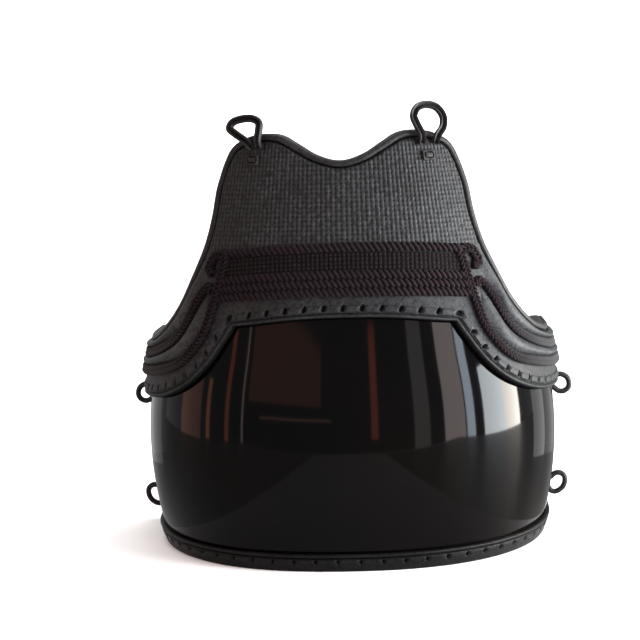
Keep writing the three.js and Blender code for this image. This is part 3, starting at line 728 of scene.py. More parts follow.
edge_columns = round(2 * EDGE_SPACES * COLUMNS_PER_SPACE)
pad_rows = len(STRIP_ROWS) + FAN_ROWS + len(RIM_TUCK) - 1
pad = flat_sheet("chest_leather", edge_columns, pad_rows)
flat = points_of(pad)
row = np.rint(flat[:, 1] * pad_rows).astype(int)
phase = (2 * flat[:, 0] - 1) * EDGE_SPACES
run = np.interp(phase, phase_rows, run_rows)
pad_along = np.interp(run, raw_length, edge_along)
last_strip = len(STRIP_ROWS) - 1
first_tuck = last_strip + FAN_ROWS
from_edge = STRIP_ROWS[np.minimum(row, last_strip)]
strip_arc, strip_height = beside(edge_route, run, from_edge)
tuck = RIM_TUCK[np.clip(row - first_tuck, 0, len(RIM_TUCK) - 1)]
tuck_arc, tuck_height = inside_rim(pad_along, tuck[:, 0])
fan = np.clip((row - last_strip) / FAN_ROWS, 0, 1)
pad_arc = strip_arc * (1 - fan) + tuck_arc * fan
pad_height = strip_height * (1 - fan) + tuck_height * fan
out = np.interp(from_edge, EDGE_PROFILE[:, 0], EDGE_PROFILE[:, 1])
out = np.where(row >= first_tuck, tuck[:, 1], out)
along_edge = (phase - np.rint(phase)) * LACE_PITCH
slot = slot_depth(along_edge, from_edge - SLOT_FROM_EDGE, SLOT_WIDTH, SLOT_HEIGHT, SLOT_SLANT)
slot = np.where(row <= last_strip, slot, 0)
groove = np.clip(1 - np.abs(from_edge - GROOVE_FROM_EDGE) / GROOVE_REACH, 0, 1) * (row <= last_strip)
from_end = np.minimum(run, EDGE_LENGTH - run)
rounded = quarter_round(from_end / END_ROUNDING)
out = SEAT_GAP + (out - SEAT_GAP - slot * SLOT_DEPTH) * rounded
put_points(pad, on_body(pad_arc, pad_height, out))
# Painted shade: under the binding's tuck, in the slots, in the sewn groove and under the rolled edge.
tucked = np.clip((0.0070 - out) / 0.0030, 0, 1) * (row >= first_tuck)
underside = np.clip((0.0020 - from_edge) / 0.0012, 0, 1) * (row <= last_strip)
mark(pad, "pit", np.maximum.reduce([slot, 0.85 * groove, tucked, 0.9 * underside]))
finish_with(pad, "SOLIDIFY", thickness=0.0008, offset=-1)
smooth(pad)
hand_over(pad, ["chest_pad", "pad_bead"], PLAIN_SHADED_LEATHER)

# %% [markdown]
# ## The lacing thong
# A flat thong of the same hide runs through the slots. It lies on the leather from slot to slot
# and dives into each one. One length between two slots is shaped flat, then repeated by an Array
# over the whole edge, and laid along the edge's route.

# %% Lacing thong
THONG_WIDTH = 0.0058
THONG_THICKNESS = 0.0017


def thong_length(name, width, thickness, dive, slant, from_share=0.07):
    """One length of thong between two slots, x from 0 to 1 in lacing spaces."""
    section = round_section(width, 0, thickness, thickness * 0.45, thickness * 0.3, steps=2)
    piece = drawn_out(name, 16, [(side - width / 2, out) for side, out in section])
    points = points_of(piece)
    share = points[:, 0]
    near_end = np.minimum(share, 1 - share) * 2
    dip = np.clip(1 - near_end / 0.28, 0, 1) ** 1.6
    points[:, 2] -= dip * dive
    points[:, 1] *= 1 - 0.35 * dip
    points[:, 0] = from_share + share * (1 - 2 * from_share) + slant * points[:, 1]
    put_points(piece, points)
    return piece


thong = thong_length("lacing_thong", THONG_WIDTH, THONG_THICKNESS, 0.0036, SLOT_SLANT / LACE_PITCH)
lengths = 2 * WING_SPACES + FRONT_SPACES
repeat(thong, lengths, (1, 0, 0))
points = points_of(thong)
run = np.interp(points[:, 0] - lengths / 2, phase_rows, run_rows)
arc, height = beside(edge_route, run, SLOT_FROM_EDGE + points[:, 1])
put_points(thong, on_body(arc, height, PAD_TOP - 0.0005 + points[:, 2]))
smooth(thong, 50)
hand_over(thong, ["chest_lace"], PLAIN_SHADED_LEATHER)

# %% [markdown]
# ## The stitched chest
# Over the band the hide is sewn to its felt in close upright rows, so the surface is a field of
# small pillows with a needle hole at each corner. One pillow is shaped on a small sheet, and an
# Array repeats it sideways and upwards. No two stitches are pulled equally tight, so each pillow
# gets its own height. Needle holes, furrows and low pillows are painted dark as shade. What lies
# past the rim or under the band is trimmed away.

# %% Ornament band's place
BAND_TOP_HEIGHT = 0.2936
BAND_DROP = 0.004
TOP_CORD_WIDTH = 0.008


def band_height(arc, below):
    """Heights of a line at a distance below the band's top, which drops to both sides."""
    return BAND_TOP_HEIGHT - below - BAND_DROP * (arc / PAD_CORNER_ARC) ** 2


print("the band's top is", BAND_TOP_HEIGHT, "m high at the front")

# %% Stitched chest
# Measured in the photo at this scale: 5.1 mm from column to column, and its words say 5 mm.
STITCH_WIDTH, STITCH_HEIGHT = 0.0051, 0.0041
STITCH_RELIEF = 0.0011
CELL_STEPS = 5
FIELD_COLUMNS, FIELD_ROWS = 68, 27
FIELD_OUT = 0.0071
# Each pillow's height is a share of the usual one between these two. A tight one sits lower and is
# painted darker, as shade.
STITCH_SEED, TIGHTNESS, PULL_SHADE = 11, (0.62, 1.15), 0.45
FIELD_UNDER_CORD = 0.006
RIM_CLEAR, FADE_FROM, FADE_REACH, BAND_FADE = 0.0068, 0.0072, 0.0014, 0.003
FADE_SINK = 0.0014

field = flat_sheet("stitched_chest", CELL_STEPS, CELL_STEPS)
points = points_of(field)
ridge, rung = np.abs(np.sin(math.pi * points[:, :2])).T
needle_hole = (1 - ridge) * (1 - rung)
pillow = 0.42 * ridge ** 0.6 + 0.14 * ridge * rung + 0.44 * (1 - needle_hole ** 0.7)
points[:, 2] = pillow
put_points(field, points * (STITCH_WIDTH, STITCH_HEIGHT, STITCH_RELIEF))
# Painted shade in the needle holes and the furrows between the pillows.
mark(field, "pit", 0.95 * needle_hole ** 0.6 + 0.24 * (1 - ridge ** 0.6) + 0.06 * (1 - rung))
repeat(field, FIELD_COLUMNS, (STITCH_WIDTH, 0, 0), joined=True)
repeat(field, FIELD_ROWS, (0, STITCH_HEIGHT, 0), joined=True)
points = points_of(field)
field_arc = points[:, 0] - FIELD_COLUMNS * STITCH_WIDTH / 2
random = np.random.default_rng(STITCH_SEED)
tightness = random.uniform(*TIGHTNESS, (FIELD_COLUMNS + 1, FIELD_ROWS + 1))
cell = (points[:, :2] / (STITCH_WIDTH, STITCH_HEIGHT) + 1e-4).astype(int)
pulled = tightness[cell[:, 0], cell[:, 1]]
pits = field.data.attributes["pit"].data
stored_pit = np.empty(len(points), np.float32)
pits.foreach_get("value", stored_pit)
shaded = np.clip(stored_pit + PULL_SHADE * (1 - pulled), 0, 1)
pits.foreach_set("value", shaded.astype(np.float32))
points[:, 2] *= pulled
field_height = band_height(0, TOP_CORD_WIDTH / 2) - BAND_DROP + points[:, 1] - FIELD_UNDER_CORD
rim_line = rim_at(np.linspace(-1, 1, 1201))
rim_points = on_body(*rim_line, 0)
field_points = on_body(field_arc, field_height, 0)
rim_gap = np.full(len(points), 1.0)
for start in range(0, len(points), 4000):
    part = field_points[start:start + 4000, None, :] - rim_points[None, :, :]
    rim_gap[start:start + 4000] = np.sqrt((part ** 2).sum(-1)).min(1)
under_rim = field_height < np.interp(field_arc, *rim_line)
over_band = field_height - band_height(field_arc, TOP_CORD_WIDTH * 0.6)
keep = under_rim & (rim_gap > RIM_CLEAR) & (over_band > 0)
fade = np.clip((rim_gap - FADE_FROM) / FADE_REACH, 0, 1) * np.clip(over_band / BAND_FADE, 0, 1)
out = FIELD_OUT - FADE_SINK * (1 - fade) + points[:, 2] * fade
put_points(field, on_body(field_arc, field_height, out))
select_where(field, ~keep)
bpy.ops.mesh.delete(type="VERT")
mode("OBJECT")
finish_with(field, "SOLIDIFY", thickness=0.0006, offset=-1)
smooth(field)
hand_over(field, ["chest_pad"], CHEST_LEATHER)
print("pillows:", FIELD_COLUMNS * FIELD_ROWS, "before trimming")

# %% [markdown]
# ## The ornament band
# The band crosses the chest between the two wing cords: a twisted cord along its top, four rows
# of square stitches, and three more cords laid side by side. A twisted cord shows a row of slanted
# strands, so one strand is a stretched ball, tilted, and repeated at the cord's pitch.

# %% Strands and cords
# Measured in the photo at this scale, from strand to strand of the band's cords.
STRAND_PITCH = 0.0049


def slanted_strand(name, width, thickness, pitch, slant):
    """One strand of a laid cord, tilted across the cord's width."""
    clear_bench()
    bpy.ops.mesh.primitive_uv_sphere_add(segments=10, ring_count=8, radius=1)
    strand = named(name)
    tilt = math.radians(slant)
    half_length = width / 2 / math.sin(abs(tilt)) * 1.08
    half_width = pitch * math.sin(abs(tilt)) * 0.56
    shape = Matrix.Diagonal((half_width, thickness * 0.62, half_length, 1))
    lying = Matrix.Rotation(math.pi / 2, 4, "X")
    turned = Matrix.Rotation(tilt - math.pi / 2, 4, "Z")
    strand.data.transform(Matrix.Translation((0, 0, thickness * 0.38)) @ turned @ lying @ shape)
    return strand


def cord_of_strands(name, route, base, width, thickness, pitch, slants):
    """A cord: a row of strands for each slant, side by side, laid along a route."""
    length = route["length"][-1]
    count = round(length / pitch)
    step = length / count
    row_width = width / len(slants)
    strand_width = row_width * (1.15 if len(slants) > 1 else 1)
    rows = []
    for number, slant in enumerate(slants):
        strand = slanted_strand(f"{name}_{number}", strand_width, thickness, pitch, slant)
        side = (number - (len(slants) - 1) / 2) * row_width * 0.92
        strand.data.transform(Matrix.Translation((step / 2, side, 0)))
        repeat(strand, count, (step, 0, 0))
        rows.append(strand)
    clear_bench()
    for strand in rows:
        strand.select_set(True)
    bpy.context.view_layer.objects.active = rows[0]
    if len(rows) > 1:
        bpy.ops.object.join()
    cord = named(name)
    lay_along(cord, route, base)
    smooth(cord)
    return cord


print("strand pitch", STRAND_PITCH, "m")

# %% Band cords and stitch panel
PANEL_HEIGHT = 0.0154
PANEL_ROWS = 4
BRAID_WIDTH = 0.007
BAND_BASE = 0.0072


def band_route(node, below):
    """A line across the band that ends where a solid of the frame does."""
    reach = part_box(node)[1].x
    arcs = np.linspace(0, 0.2, 400)
    end = float(np.interp(reach, on_body(arcs, band_height(arcs, below), PAD_TOP)[:, 0], arcs))
    arc = np.linspace(-end, end, 400)
    return route_of(arc, band_height(arc, below))


top_cord = cord_of_strands(
    "band_upper_cord", band_route("band_top_cord", TOP_CORD_WIDTH / 2), BAND_BASE,
    TOP_CORD_WIDTH, 0.0050, STRAND_PITCH, [-52],
)
hand_over(top_cord, ["band_top_cord"], COTTON)
panel_from = TOP_CORD_WIDTH + SEAT_GAP
braids_from = panel_from + PANEL_HEIGHT + SEAT_GAP
for number in range(3):
    node = f"band_braid_{number + 1}"
    below = braids_from + BRAID_WIDTH / 2 + number * (BRAID_WIDTH + SEAT_GAP)
    braid = cord_of_strands(
        f"band_cord_{number + 1}", band_route(node, below), BAND_BASE,
        BRAID_WIDTH + SEAT_GAP, 0.0044, STRAND_PITCH, [-52],
    )
    hand_over(braid, [node], COTTON)

panel_route = band_route("band_stitch_panel", panel_from + PANEL_HEIGHT / 2)
panel_length = panel_route["length"][-1]
row_height = PANEL_HEIGHT / PANEL_ROWS
panel_columns = round(panel_length / row_height)
panel_step = panel_length / panel_columns
panel = flat_sheet("band_stitches", 5, 5)
points = points_of(panel)
pillow = np.clip(np.sin(math.pi * points[:, 0]) * np.sin(math.pi * points[:, 1]), 0, 1) ** 0.45
points[:, 2] = 0.0012 + 0.0016 * pillow
put_points(panel, points * (panel_step, row_height, 1))
# Painted shade in the gaps between the square stitches.
mark(panel, "pit", 1 - pillow)
repeat(panel, panel_columns, (panel_step, 0, 0), joined=True)
repeat(panel, PANEL_ROWS, (0, row_height, 0), joined=True)
put_points(panel, points_of(panel) - (0, PANEL_HEIGHT / 2, 0))
lay_along(panel, panel_route, BAND_BASE)
finish_with(panel, "SOLIDIFY", thickness=0.0012, offset=-1)
smooth(panel)
hand_over(panel, ["band_stitch_panel"], COTTON)

# %% [markdown]
# ## Wing cords
# On each wing a plaited cord starts in a curl beside the band and sweeps down to the back edge. A
# second one springs from it in an arch. The cords have two slants of strands, side by side, that
# meet in a row of arrowheads. The wearer's arms rub them grey towards the back edges, so a value
# called worn rises there.

# %% Wing cord lines
# Along and across of the cord with the curl, from its tip to the back edge.
WING_CORD = [
    (0.519, 0.513), (0.55, 0.658), (0.509, 0.611), (0.444, 0.488), (0.412, 0.398), (0.43, 0.375),
    (0.447, 0.358), (0.473, 0.339), (0.512, 0.339), (0.559, 0.323), (0.613, 0.28), (0.643, 0.27),
    (0.68, 0.271), (0.737, 0.295), (0.774, 0.334), (0.81, 0.385), (0.846, 0.415), (0.899, 0.43),
    (1, 0.42),
]
CORD_FOOT = 4
# Along and across of the branch, from the first cord over its arch to the back edge.
WING_BRANCH = [
    (0.535, 0.425), (0.55, 0.475), (0.565, 0.53), (0.603, 0.603), (0.628, 0.626), (0.652, 0.632),
    (0.676, 0.619), (0.698, 0.611), (0.743, 0.628), (0.776, 0.662), (0.812, 0.692), (0.843, 0.705),
    (0.896, 0.7), (1, 0.69),
]
BACK_MARGIN = 0.005
# How far from the middle the cords begin to be rubbed, and how far on they are rubbed grey.
RUBBED_FROM, RUBBED_OVER = 0.140, 0.045
CORD_WIDTH = 0.0074
PLAIT_PITCH, PLAIT_SLANT = 0.0042, 38
HANDS = ((-1, "left"), (1, "right"))
# Piece, node, rows, how much wider than the solid, and thickness.
WING_CORDS = [
    ("wing_cord_with_curl", "wing_cord", WING_CORD, 0.0012, 0.0052),
    ("wing_cord_branch", "wing_branch", WING_BRANCH, 0.0008, 0.0050),
]


def wing_route(rows, side, evened=0.003):
    """A cord's line on one wing, up to the margin at the back edge."""
    line = spline(rows, np.linspace(0, 1, 1500))
    arc, height = on_pad(line[:, 0], line[:, 1])
    inside = arc < BACK_ARC - BACK_MARGIN
    return route_of(side * arc[inside], height[inside], evened)


def across_at(rows, first_row, along):
    """Across of a cord's middle line by along, from the row where it turns to the back."""
    line = spline(rows, np.linspace(first_row / (len(rows) - 1), 1, 900))
    return np.interp(along, line[:, 0], line[:, 1])


for side, hand in HANDS:
    for name, node, rows, wider, thickness in WING_CORDS:
        cord = cord_of_strands(
            f"{name}_{hand}", wing_route(rows, side), BAND_BASE, CORD_WIDTH + wider, thickness,
            PLAIT_PITCH, [-PLAIT_SLANT * side, PLAIT_SLANT * side],
        )
        mark(cord, "worn", (np.abs(points_of(cord)[:, 0]) - RUBBED_FROM) / RUBBED_OVER)
        hand_over(cord, [f"{node}_{hand}"], COTTON)

# %% [markdown]
# ## The padded ribs
# Between and over the wing cords lie ribs of hide over felt, which soften a blow to the side. A
# flat sheet is laid between the two lines that bound a rib, and its middle is raised to a crown.
# It swells from a low tip beside the branch, and is rounded off in front of the back edge.

# %% Padded ribs
RIB_FROM, RIB_END = 0.585, 0.9895
RIB_CROWN = 0.0062
RIB_SWELL, RIB_HEEL = 0.24, 0.035
RIB_COLUMNS, RIB_ROWS = 110, 16


def stepped_off(rows, first_row, along, distance):
    """Places at a real distance beside a cord's middle line."""
    small = 0.003
    here, back, ahead = (
        on_pad(place, across_at(rows, first_row, place))
        for place in (along, np.maximum(0, along - small), np.minimum(1, along + small))
    )
    return sideways(*here, ahead[0] - back[0], ahead[1] - back[1], distance)


def padded_rib(name, side, low_line, high_line):
    """A crowned rib between two lines, each a function of along."""
    rib = flat_sheet(name, RIB_COLUMNS, RIB_ROWS)
    flat = points_of(rib)
    share = flat[:, 0] if side > 0 else 1 - flat[:, 0]
    along = RIB_FROM + (RIB_END - RIB_FROM) * share
    low, high = low_line(along), high_line(along)
    arc = low[0] * (1 - flat[:, 1]) + high[0] * flat[:, 1]
    height = low[1] * (1 - flat[:, 1]) + high[1] * flat[:, 1]
    crown = np.sin(math.pi * flat[:, 1]) ** 0.7
    tip = np.clip(share / RIB_SWELL, 0, 1) ** 0.8
    heel = quarter_round((1 - share) / RIB_HEEL)
    out = PAD_TOP - 0.0010 + (RIB_CROWN * crown * tip + 0.0006) * heel
    put_points(rib, on_body(side * arc, height, out))
    # Painted shade along the rib's low sides, where it meets the cords.
    mark(rib, "pit", np.clip(1 - crown / 0.45, 0, 1) * 0.8)
    finish_with(rib, "SOLIDIFY", thickness=0.0012, offset=-1)
    smooth(rib)
    return rib


beside_cord = CORD_WIDTH / 2 + SEAT_GAP
for side, hand in HANDS:
    inner = padded_rib(
        f"padded_inner_rib_{hand}", side,
        lambda along: stepped_off(WING_CORD, CORD_FOOT, along, beside_cord),
        lambda along: stepped_off(WING_BRANCH, 0, along, -beside_cord),
    )
    hand_over(inner, [f"inner_rib_{hand}"], CHEST_LEATHER)
    outer = padded_rib(
        f"padded_outer_rib_{hand}", side,
        lambda along: stepped_off(WING_BRANCH, 0, along, beside_cord),
        lambda along: inside_rim(along, BINDING_WIDTH + 0.0014),
    )
    hand_over(outer, [f"outer_rib_{hand}"], CHEST_LEATHER)

# %% [markdown]
# ## The hem
# The bottom edge is wrapped in black leather that is turned up inside and out, with a small roll
# along its top and a thong laced through it. It is one closed section, drawn out like the binding,
# with the slots pressed into its face afterwards.

# %% Hem
HEM_PITCH = 0.021
HEM_SLOT_HEIGHT, HEM_SLOT_DEPTH = 0.0092, 0.0022
# Half the width, half the height, slant.
HEM_SLOT_SIZE = (0.0014, 0.0026, 0.15)
HEM_GROOVE_HEIGHT = 0.0126
HEM_COLUMNS_PER_SPACE = 18
# Height over the floor and distance out of the body, in millimetres.
HEM_SECTION = [
    (0.0, -6.8), (0.0, -2.0), (0.0, 2.6), (0.4, 3.3), (1.2, 3.6), (3.0, 3.7), (4.6, 3.7), (5.9, 3.7),
    (6.7, 3.7), (7.5, 3.7), (8.3, 3.7), (9.1, 3.7), (9.9, 3.7), (10.7, 3.7), (11.5, 3.6), (12.1, 3.0),
    (12.6, 2.2), (13.1, 2.9), (13.6, 3.8), (14.3, 4.5), (15.1, 4.6), (15.9, 4.2), (16.4, 3.4),
    (16.6, 2.2), (16.6, 0.4), (3.2, 0.4), (3.2, -4.4), (12.0, -4.4), (12.2, -6.8), (11.4, -7.4),
    (1.0, -7.5), (0.3, -7.3),
]
hem_spaces = round(2 * BACK_ARC / HEM_PITCH)
hem = drawn_out("laced_hem", hem_spaces * HEM_COLUMNS_PER_SPACE, np.array(HEM_SECTION) / 1000)
points = points_of(hem)
phase = points[:, 0] * hem_spaces
along_hem = (phase - np.floor(phase) - 0.5) * HEM_PITCH
slot = slot_depth(along_hem, points[:, 1] - HEM_SLOT_HEIGHT, *HEM_SLOT_SIZE) * (points[:, 2] > 0.0036)
groove = np.clip(1 - np.abs(points[:, 1] - HEM_GROOVE_HEIGHT) / 0.0006, 0, 1) * (points[:, 2] > 0.0015)
hem_arc = (2 * points[:, 0] - 1) * BACK_ARC
put_points(hem, on_body(hem_arc, points[:, 1], points[:, 2] - HEM_SLOT_DEPTH * slot))
# Painted shade in the slots and in the groove under the roll.
mark(hem, "pit", np.maximum(slot, groove * 0.9))
smooth(hem, 50)
hand_over(hem, ["hem_edging"], HEM_LEATHER)

# %% [markdown]
# ## The hem's thong
# The hem is laced like the chest, with a narrower thong. The same length of thong is made in a
# smaller size, repeated from slot to slot, and laid along the bottom edge.

# %% Hem thong
hem_thong = thong_length("hem_thong", 0.0042, 0.0013, 0.0016, 0.0, from_share=0.05)
repeat(hem_thong, hem_spaces - 1, (1, 0, 0))
points = points_of(hem_thong)
hem_arc = ((points[:, 0] + 0.5) / hem_spaces * 2 - 1) * BACK_ARC
put_points(hem_thong, on_body(hem_arc, HEM_SLOT_HEIGHT + points[:, 1], 0.0031 + points[:, 2]))
smooth(hem_thong, 50)
hand_over(hem_thong, ["hem_lace"], HEM_LEATHER)

# %% [markdown]
# ## The tie loops
# The shoulder loops take the long ties that cross the back. Each is a strap of hide folded in
# three, so it has two ridges with a valley between, and its ends pass through the chest leather.
# The loop on one shoulder stands up and the other has flopped over. A section is carried along
# the loop's line, and turned so that the ridges face the viewer.

# %% Loops
STRAP = 0.0056
LOOP_WIDTH, LOOP_RISE = 0.031, 0.033
LOOP_ARC = 0.107
LOOP_BELOW_SHOULDER = 0.012
# Share of the width away from the neck, share of the rise, share of the strap outwards.
UPRIGHT_LOOP = [
    (-0.27, 0, 0.12), (-0.27, 0, 0.55), (-0.29, 0.15, 1.2), (-0.42, 0.45, 1.3), (-0.47, 0.7, 1.2),
    (-0.3, 0.93, 1.2), (0.02, 1, 1.2), (0.33, 0.91, 1.2), (0.5, 0.65, 1.2), (0.43, 0.36, 1.3),
    (0.24, 0.14, 1.2), (0.2, 0, 0.55), (0.2, 0, 0.12),
]
FLOPPED_LOOP = [
    (0.17, 0, 0.12), (0.17, 0, 0.55), (0.32, 0.14, 1.3), (0.62, 0.31, 1.5), (0.86, 0.48, 1.5),
    (0.8, 0.64, 1.4), (0.48, 0.74, 1.3), (0.12, 0.74, 1.2), (-0.1, 0.62, 1.2), (-0.14, 0.38, 1.3),
    (-0.12, 0.14, 1.2), (-0.11, 0, 0.55), (-0.11, 0, 0.12),
]


def body_axes(arc, height):
    """The directions round, up and out of the body at one place."""
    slopes = surface_slopes(np.array([arc]), np.array([height]))
    round_way, up_way = (slope[0] / np.linalg.norm(slope[0]) for slope in slopes)
    return round_way, up_way, np.cross(round_way, up_way)


def carried(piece, path, facing):
    """Carries a drawn-out section along a line of points. Its thickness keeps to the facing side."""
    share = np.linspace(0, 1, len(path))
    ahead = np.gradient(path, share, axis=0)
    ahead /= np.linalg.norm(ahead, axis=1)[:, None]
    side = np.cross(facing, ahead)
    side /= np.linalg.norm(side, axis=1)[:, None]
    top = np.cross(ahead, side)
    points = points_of(piece)
    place, across, over = (
        np.stack([np.interp(points[:, 0], share, line[:, k]) for k in range(3)], axis=1)
        for line in (path, side, top)
    )
    put_points(piece, place + across * points[:, 1:2] + over * points[:, 2:3])


STRAP_SCALE = 0.00126
FOLDED_STRAP = [
    (-2.9, 0), (-2.8, 1.3), (-2.2, 2.2), (-1.5, 2.0), (-0.8, 0.7), (0, 0.2), (0.8, 0.7), (1.5, 2.0),
    (2.2, 2.2), (2.8, 1.3), (2.9, 0), (2.5, -1.2), (1.5, -1.6), (0, -1.7), (-1.5, -1.6), (-2.5, -1.2),
]
# Side, name, rows, and how far the loop has swung away from the neck.
SHOULDER_LOOPS = [(-1, "left", FLOPPED_LOOP, -0.0030), (1, "right", UPRIGHT_LOOP, 0.0022)]
for side, hand, rows, swung in SHOULDER_LOOPS:
    loop_height = SHOULDER_HEIGHT - LOOP_BELOW_SHOULDER
    away, rise, normal = body_axes(side * LOOP_ARC, loop_height)
    root = on_body(np.array([side * LOOP_ARC]), np.array([loop_height]), PAD_TOP)[0]
    line = spline(np.array(rows) * [LOOP_WIDTH, LOOP_RISE, STRAP], np.linspace(0, 1, 400))
    path = root + (line[:, :1] + swung) * away * side + line[:, 1:2] * rise + line[:, 2:3] * normal
    loop = drawn_out(f"shoulder_strap_loop_{hand}", 90, np.array(FOLDED_STRAP) * STRAP_SCALE)
    flat = points_of(loop)
    # Painted shade in the valley between the strap's two ridges.
    in_valley = (flat[:, 2] > 0) * (1 - np.abs(flat[:, 1]) / (1.6 * STRAP_SCALE))
    mark(loop, "pit", 1.3 * in_valley)
    carried(loop, path, normal)
    face_outwards(loop)
    smooth(loop, 60)
    hand_over(loop, [f"shoulder_loop_{hand}"], EDGE_LEATHER)

# %% [markdown]
# ## The strap ends
# Under each loop the end of its strap comes back out as a small square tab, with a raised middle in
# a groove. A flat block is inset three times, its edges are bevelled and a subdivision rounds it.

# %% Strap ends
STUB_WIDTH, STUB_HEIGHT, STUB_THICKNESS = 0.0125, 0.0096, 0.0032
STUB_BELOW_LOOP = 0.012
STUB_RIM = 0.0012
for side, hand in HANDS:
    clear_bench()
    bpy.ops.mesh.primitive_cube_add(size=1)
    stub = named(f"strap_end_{hand}")
    stub.data.transform(Matrix.Diagonal((STUB_WIDTH, STUB_HEIGHT, STUB_THICKNESS * 2, 1)))
    select_where(stub, [face.normal.z > 0.9 for face in stub.data.polygons], "FACE")
    bpy.ops.mesh.inset(thickness=0.0014, depth=0)
    bpy.ops.mesh.inset(thickness=0.0005, depth=-0.0015)
    bpy.ops.mesh.inset(thickness=0.0010, depth=0.0019)
    mode("OBJECT")
    finish_with(stub, "BEVEL", width=0.0007, segments=2, limit_method="ANGLE")
    finish_with(stub, "SUBSURF", levels=2, render_levels=2)
    stub_height = SHOULDER_HEIGHT - LOOP_BELOW_SHOULDER - STUB_BELOW_LOOP
    away, rise, normal = body_axes(side * LOOP_ARC, stub_height)
    root = on_body(np.array([side * LOOP_ARC]), np.array([stub_height]), PAD_TOP)[0]
    points = points_of(stub)
    # Painted shade in the groove round the raised middle.
    half = np.array([STUB_WIDTH, STUB_HEIGHT]) / 2 - STUB_RIM
    inside = (np.abs(points[:, :2]) < half).all(axis=1)
    mark(stub, "pit", inside * (STUB_THICKNESS - 0.0003 - points[:, 2]) / 0.0008)
    put_points(stub, root + points[:, :1] * away + points[:, 1:2] * rise + points[:, 2:3] * normal)
    smooth(stub)
    hand_over(stub, [f"shoulder_stub_{hand}"], EDGE_LEATHER)

# %% [markdown]
# ## The side loops
# Four small loops at the back edges take the waist and chest ties. Each is a round thong that
# comes out of the lacquered wall, bends round and goes back in.

# %% Side loops
THONG = 0.0056
SIDE_LOOP_FROM_BACK = 0.012
# Share of the loop's height, share of its reach.
SIDE_LOOP = [
    (-0.2, 0), (-0.2, 0.12), (-0.28, 0.24), (-0.45, 0.42), (-0.48, 0.66), (-0.3, 0.92), (0, 1),
    (0.3, 0.92), (0.48, 0.66), (0.45, 0.42), (0.28, 0.24), (0.2, 0.12), (0.2, 0),
]
# Side, name, height on the body, height of the loop, reach.
SIDE_LOOPS = [
    (-1, "upper_left", 0.132, 0.018, 0.020), (1, "upper_right", 0.132, 0.018, 0.020),
    (-1, "lower_left", 0.026, 0.020, 0.020), (1, "lower_right", 0.030, 0.020, 0.020),
]
thong_angles = np.radians(np.arange(0, 360, 30))
round_thong = THONG / 2 * np.stack([np.cos(thong_angles), np.sin(thong_angles)], axis=1)
for side, name, loop_height, tall, reach in SIDE_LOOPS:
    line = spline(np.array(SIDE_LOOP) * [tall, reach], np.linspace(0, 1, 300))
    arc = np.full(len(line), side * (BACK_ARC - SIDE_LOOP_FROM_BACK))
    path = on_body(arc, loop_height + line[:, 0], SEAT_GAP + line[:, 1])
    loop = drawn_out(f"side_thong_loop_{name}", 70, round_thong)
    carried(loop, path, np.array([0, side * 1.0, 0]))
    face_outwards(loop)
    smooth(loop, 60)
    hand_over(loop, [f"side_loop_{name}"], EDGE_LEATHER)

# %% [markdown]
# ## The floor
# The photo is cut out on white. The nearest thing to it is a pale floor that sweeps up behind the
# object without an edge: a plane, its back edge drawn up, and the fold between them rounded.

# %% Floor
FLOOR_SIZE = 2.6
FLOOR_FRONT, FLOOR_BACK, FLOOR_RISE = -0.95, 2.6, 2.6
clear_bench()
bpy.ops.mesh.primitive_plane_add(size=FLOOR_SIZE)
floor = named("floor")
points = points_of(floor)
points[:, 1] = np.where(points[:, 1] < 0, FLOOR_FRONT, FLOOR_BACK)
put_points(floor, points)
behind = points[:, 1] > 0
select_where(floor, [all(behind[v] for v in edge.vertices) for edge in floor.data.edges], "EDGE")
bpy.ops.mesh.extrude_region_move(TRANSFORM_OT_translate={"value": (0, 0, FLOOR_RISE)})
mode("OBJECT")
finish_with(floor, "BEVEL", width=1.0, segments=12)
smooth(floor)
pale = Finish("pale_floor")
pale.feed("Base Color", pale.blend(pale.noise(3.0), (0.80, 0.80, 0.80, 1), (0.84, 0.84, 0.84, 1)))
pale.feed("Roughness", 0.9)
floor.data.materials.append(pale.material)
print("floor of", len(floor.data.polygons), "faces")

# %% [markdown]
# ## The lights
# A window light stands to the right, a soft one hangs overhead, and one lights the sweep behind.
# The lacquer mirrors the room, so what it shows has to be there: a window of a cool and a warm
# pane, the sky, a curtain, a door and a few red and brown strips, each a soft panel of light.

# %% Lights


def area_light(name, place, target, width, height, power, colour):
    clear_bench()
    bpy.ops.object.light_add(type="AREA", location=place)
    light = named(name)
    light.data.shape = "RECTANGLE"
    light.data.size = width
    light.data.size_y = height
    light.data.energy = power
    light.data.color = colour
    light.rotation_euler = (Vector(target) - Vector(place)).to_track_quat("-Z", "Y").to_euler()
    light.visible_camera = False
    return light


def lit_panel(name, azimuths, heights, distance, radiance, colour):
    """A soft panel that fills a span of directions round the object. Azimuth 0 is the front."""
    middle = math.radians(sum(azimuths) / 2)
    place = Vector((math.sin(middle) * distance, -math.cos(middle) * distance, sum(heights) / 2))
    width = 2 * distance * math.tan(math.radians(azimuths[1] - azimuths[0]) / 2)
    height = heights[1] - heights[0]
    power = radiance * math.pi * width * height
    print(name, "power", round(power, 1))
    return area_light(name, place, (0, 0, place.z), width, height, power, colour)


CHEST = (0, 0, 0.25)
area_light("key_light", (1.75, -0.85, 1.55), CHEST, 0.9, 0.9, 27, (1.0, 0.985, 0.97))
area_light("top_light", (0, 0.4, 2.7), (0, 0.4, 0), 2.0, 2.0, 28, (1.0, 1.0, 1.0))
area_light("back_light", (0, 1.3, 2.4), (0, 2.6, 0.8), 2.6, 1.2, 60, (1.0, 1.0, 1.0))

